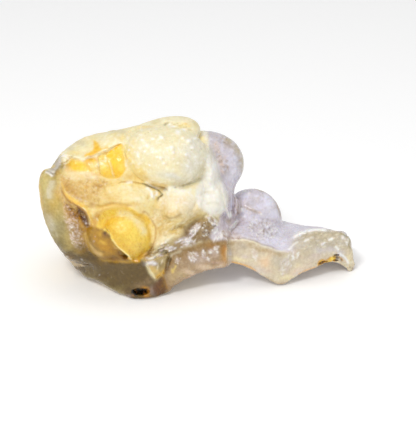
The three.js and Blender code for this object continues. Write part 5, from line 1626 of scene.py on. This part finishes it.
def coarsened(vertices, quads, cells, step):
    """The mesh with the vertices of two by two by two cells drawn together where it isn't seen, but
    not where faces would then share an edge with more than one other."""
    pair = cells // 2
    plane, depth = in_picture(LOW + (2 * pair + 1) * step)
    merged = behind_front(plane, depth) > MERGES
    pair_key = (pair[:, 0] * PAIRS + pair[:, 1]) * PAIRS + pair[:, 2]
    again = True
    while again:
        key = np.where(merged, pair_key, -1 - np.arange(len(pair_key)))
        _, number, count = np.unique(key, return_inverse=True, return_counts=True)
        joined = number[quads]
        kinds = 1 + (np.diff(np.sort(joined, axis=1), axis=1) > 0).sum(1)
        folded = (joined[:, 0] == joined[:, 2]) | (joined[:, 1] == joined[:, 3]) | (kinds < 3)
        joined = largest_piece(joined[~folded], len(count))
        split = np.isin(number, crowded(joined, len(count))) & merged
        merged &= ~split
        again = split.any()
    places = np.stack([np.bincount(number, vertices[:, i]) for i in range(3)], -1) / count[:, None]
    used, joined = np.unique(joined, return_inverse=True)
    return places[used], [tuple(dict.fromkeys(q)) for q in joined.reshape(-1, 4).tolist()]


LONGEST_MOVE = 0.3 * STEP  # mm
FLATTEST = 0.05  # the least square of a slope that a move is worked out with

vertices, quads, cells = surface(without_pinches(fill(stone_field, STEP)), STEP)
vertices, faces = coarsened(vertices, quads, cells, STEP)
for _ in range(2):  # draws the vertices onto the field's true zero
    slope = gradient(stone_field, vertices)
    size = np.maximum((slope**2).sum(1), FLATTEST)
    move = -(stone_field(vertices) / size)[:, None] * slope
    length = np.linalg.norm(move, axis=1, keepdims=True)
    vertices += move * np.minimum(1.0, LONGEST_MOVE / np.maximum(length, 1e-9))
vertices[:, 2] = np.maximum(vertices[:, 2], 0.0)

# ---- the stone's mesh, with its colours and marks as attributes ----------------------------------


def hidden_tint(points):
    """The colours of the side that the camera doesn't see: honey at the left, cream at the top,
    lavender at the right, and beige crust low down."""
    x, _, z = points.T
    warp = 3.0 * clouds(points, 9.0, 21)
    tint = np.tile(CREAM, (len(points), 1))
    blots = ramp(clouds(points, 7.0, 22), -0.1, 0.4)[:, None]
    tint = mix(tint, STRAW, 0.6 * blots)
    left = ramp(-(x + warp), 12.0, 24.0)[:, None]
    tint = mix(tint, mix(MOSS, HONEY, blots), 0.8 * left)
    right = ramp(x + warp + 7.0 * noise(points, 9.0, 26), 15.0, 19.0)[:, None]
    tint = mix(tint, mix(LILAC, FROST, blots), right)
    low = (1.0 - ramp(z + warp, 3.0, 9.0))[:, None]
    tint = mix(tint, mix(TAUPE, BEIGE, blots), 0.85 * low)
    stain = ramp(clouds(points, 5.0, 23), 0.25, 0.6)[:, None]
    tint = mix(tint, AMBER, 0.35 * stain * (1.0 - right))
    # painted shade darkens the creases between the pimples, and painted highlights lighten their tips
    ripe = grapes(points)[1][:, None]
    tint = mix(tint, TOFFEE, 0.4 * (1.0 - ramp(ripe, 0.3, 0.58)))
    return mix(tint, IVORY, 0.5 * ramp(ripe, 0.65, 0.95) * (1.0 - 0.6 * low))


GRAZING = (-0.25, 0.1)  # of a face turned towards the camera, over which the front's colours come in
WANDER = 0.35  # mm by which the edges of colours stray
AIR = 1.5  # mm above the skin, where creases are told from open places
OPEN = 0.9  # the share of that height that the field has in the open
CREASE_SHADE_DEPTH = 0.4  # how much the painted shade deepens the colour in a crease

normals = gradient(stone_field, vertices, step=0.4)
normals /= np.maximum(np.linalg.norm(normals, axis=1, keepdims=True), 1e-9)
plane, depth = in_picture(vertices)
to_eye = EYE - vertices
facing = (normals * to_eye).sum(1) / np.linalg.norm(to_eye, axis=1)
seen = ramp(facing, *GRAZING) * (1.0 - hidden_part(plane, depth))
wander = np.stack([noise(plane, 2.5, 24), noise(plane, 2.5, 25)], -1) * WANDER
tint = mix(hidden_tint(vertices), read(TINT, plane + wander), seen[:, None])
# painted shade: colours darkened and deepened in creases, where light reaches less
crease_shade = np.clip(OPEN - stone_field(vertices + AIR * normals) / AIR, 0.0, 1.0)
tint *= np.maximum(tint, 0.02) ** (CREASE_SHADE_DEPTH * crease_shade[:, None])

mesh = bpy.data.meshes.new("chalcedony_stone")
mesh.from_pydata((vertices * MM).tolist(), [], faces)
mesh.validate()
mesh.polygons.foreach_set("use_smooth", [True] * len(mesh.polygons))
colours = mesh.attributes.new("tint", "FLOAT_COLOR", "POINT")
colours.data.foreach_set("color", np.hstack([tint, np.ones((len(tint), 1))]).ravel())
HIDDEN_MARKS = {"frost": 0.1, "specks": 0.1, "grain": 0.35, "gloss": 0.3}
for name, layer in MARKS.items():
    level = mix(HIDDEN_MARKS[name], read(layer, plane + wander), seen)
    attribute = mesh.attributes.new(name, "FLOAT", "POINT")
    attribute.data.foreach_set("value", level)
stone = bpy.data.objects.new("chalcedony_stone", mesh)
bpy.context.scene.collection.objects.link(stone)

# ---- material ------------------------------------------------------------------------------------


COLOUR_A, COLOUR_B, COLOUR_RESULT = 6, 7, 2  # a mix node's sockets for colours


class Nodes:
    """Builds a material's nodes in short lines."""

    def __init__(self, material):
        material.use_nodes = True
        self.tree = material.node_tree
        self.shader = self.tree.nodes["Principled BSDF"]

    def add(self, kind, inputs=(), **settings):
        node = self.tree.nodes.new(kind)
        for name, value in settings.items():
            setattr(node, name, value)
        for key, value in dict(inputs).items():
            self.feed(node.inputs[key], value)
        return node

    def feed(self, socket, value):
        if isinstance(value, bpy.types.NodeSocket):
            self.tree.links.new(value, socket)
        else:
            socket.default_value = value

    def layer(self, name, output="Fac"):
        return self.add("ShaderNodeAttribute", attribute_name=name).outputs[output]

    def noise(self, size, detail=3.0, roughness=0.55):
        """Noise with features of a size in millimetres."""
        where = self.add("ShaderNodeTexCoord").outputs["Object"]
        inputs = {"Vector": where, "Scale": 1.0 / (size * MM), "Detail": detail, "Roughness": roughness}
        return self.add("ShaderNodeTexNoise", inputs).outputs["Fac"]

    def math(self, operation, a, b):
        return self.add("ShaderNodeMath", {0: a, 1: b}, operation=operation).outputs[0]

    def between(self, value, low, high, to_low=0.0, to_high=1.0):
        inputs = {"Value": value, "From Min": low, "From Max": high, "To Min": to_low, "To Max": to_high}
        node = self.add("ShaderNodeMapRange", inputs, interpolation_type="SMOOTHSTEP")
        return node.outputs["Result"]

    def blend(self, part, a, b, kind="MIX"):
        node = self.add("ShaderNodeMix", data_type="RGBA", blend_type=kind)
        self.feed(node.inputs["Factor"], part)
        self.feed(node.inputs[COLOUR_A], a)
        self.feed(node.inputs[COLOUR_B], b)
        return node.outputs[COLOUR_RESULT]


def opaque(colour):
    return (*(float(c) for c in colour), 1.0)


def chalcedony():
    material = bpy.data.materials.new("chalcedony")
    nodes = Nodes(material)
    colour = nodes.layer("tint", "Color")
    grey = nodes.between(nodes.noise(0.9, 5, 0.65), 0.3, 0.7, 0.15, 0.85)
    colour = nodes.blend(0.3, colour, grey, "SOFT_LIGHT")
    fleck = nodes.math("MULTIPLY", nodes.layer("specks"), nodes.between(nodes.noise(0.9, 3), 0.56, 0.66))
    colour = nodes.blend(fleck, colour, opaque(TAUPE))
    dust = nodes.math("MULTIPLY", nodes.layer("frost"), nodes.between(nodes.noise(0.6, 4, 0.65), 0.5, 0.62))
    colour = nodes.blend(dust, colour, opaque(FROST))
    nodes.feed(nodes.shader.inputs["Base Color"], colour)

    grain = nodes.layer("grain")
    dull = nodes.between(grain, 0.0, 1.0, 0.42, 0.66)
    polish = nodes.math("MULTIPLY", nodes.layer("gloss"), -0.27)
    uneven = nodes.between(nodes.noise(1.2, 3), 0.3, 0.7, -0.08, 0.08)
    roughness = nodes.math("ADD", nodes.math("ADD", dull, polish), uneven)
    nodes.feed(nodes.shader.inputs["Roughness"], roughness)
    nodes.feed(nodes.shader.inputs["Coat Weight"], nodes.math("MULTIPLY", nodes.layer("gloss"), 0.35))

    fine = nodes.math("MULTIPLY", nodes.noise(0.6, 5, 0.6), nodes.math("ADD", grain, 0.25))
    bump = nodes.add("ShaderNodeBump", {"Strength": 0.8, "Distance": 0.35 * MM, "Height": fine})
    nodes.feed(nodes.shader.inputs["Normal"], bump.outputs["Normal"])
    for name, value in {
        "IOR": 1.5,
        "Subsurface Weight": 0.3,
        "Subsurface Radius": (1.0, 0.7, 0.4),
        "Subsurface Scale": 0.8 * MM,
        "Coat Roughness": 0.12,
        "Specular IOR Level": 0.36,
    }.items():
        nodes.shader.inputs[name].default_value = value
    return material


mesh.materials.append(chalcedony())
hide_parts("chalcedony")
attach(stone, "root")

# ---- floor, light and camera ---------------------------------------------------------------------


def floor():
    plain = bpy.data.meshes.new("floor")
    half = 3.0  # m
    corners = [(-half, -half, 0), (half, -half, 0), (half, half, 0), (-half, half, 0)]
    plain.from_pydata(corners, [], [(0, 1, 2, 3)])
    material = bpy.data.materials.new("pale floor")
    shader = Nodes(material).shader
    shader.inputs["Base Color"].default_value = (0.97, 0.97, 0.97, 1.0)
    shader.inputs["Roughness"].default_value = 0.7
    shader.inputs["Emission Color"].default_value = (1.0, 1.0, 1.0, 1.0)
    shader.inputs["Emission Strength"].default_value = 0.1
    plain.materials.append(material)
    piece = bpy.data.objects.new("floor", plain)
    bpy.context.scene.collection.objects.link(piece)


def area_light(name, place, side, power):
    """A square light that points at the stone."""
    data = bpy.data.lights.new(name, "AREA")
    data.energy = power
    data.size = side
    lamp = bpy.data.objects.new(name, data)
    bpy.context.scene.collection.objects.link(lamp)
    lamp.location = place
    way = Vector(TARGET * MM) - lamp.location
    lamp.rotation_euler = way.to_track_quat("-Z", "Y").to_euler()


def light():
    world = bpy.data.worlds.new("studio")
    world.use_nodes = True
    bpy.context.scene.world = world
    background = world.node_tree.nodes["Background"]
    background.inputs["Color"].default_value = (1.0, 1.0, 1.0, 1.0)
    background.inputs["Strength"].default_value = 0.64
    area_light("key", (-0.13, -0.3, 0.4), 0.1, 1.0)
    area_light("top", (0.1, 0.05, 0.5), 0.35, 0.35)
    bpy.context.scene.view_settings.view_transform = "Standard"


def camera():
    data = bpy.data.cameras.new("camera")
    data.sensor_width = SENSOR
    data.lens = SENSOR * DISTANCE * PX_PER_MM / max(IMAGE)
    view = bpy.data.objects.new("camera", data)
    bpy.context.scene.collection.objects.link(view)
    view.location = EYE * MM
    view.rotation_euler = (math.radians(90.0) - TILT, 0.0, 0.0)
    bpy.context.scene.camera = view


floor()
light()
camera()
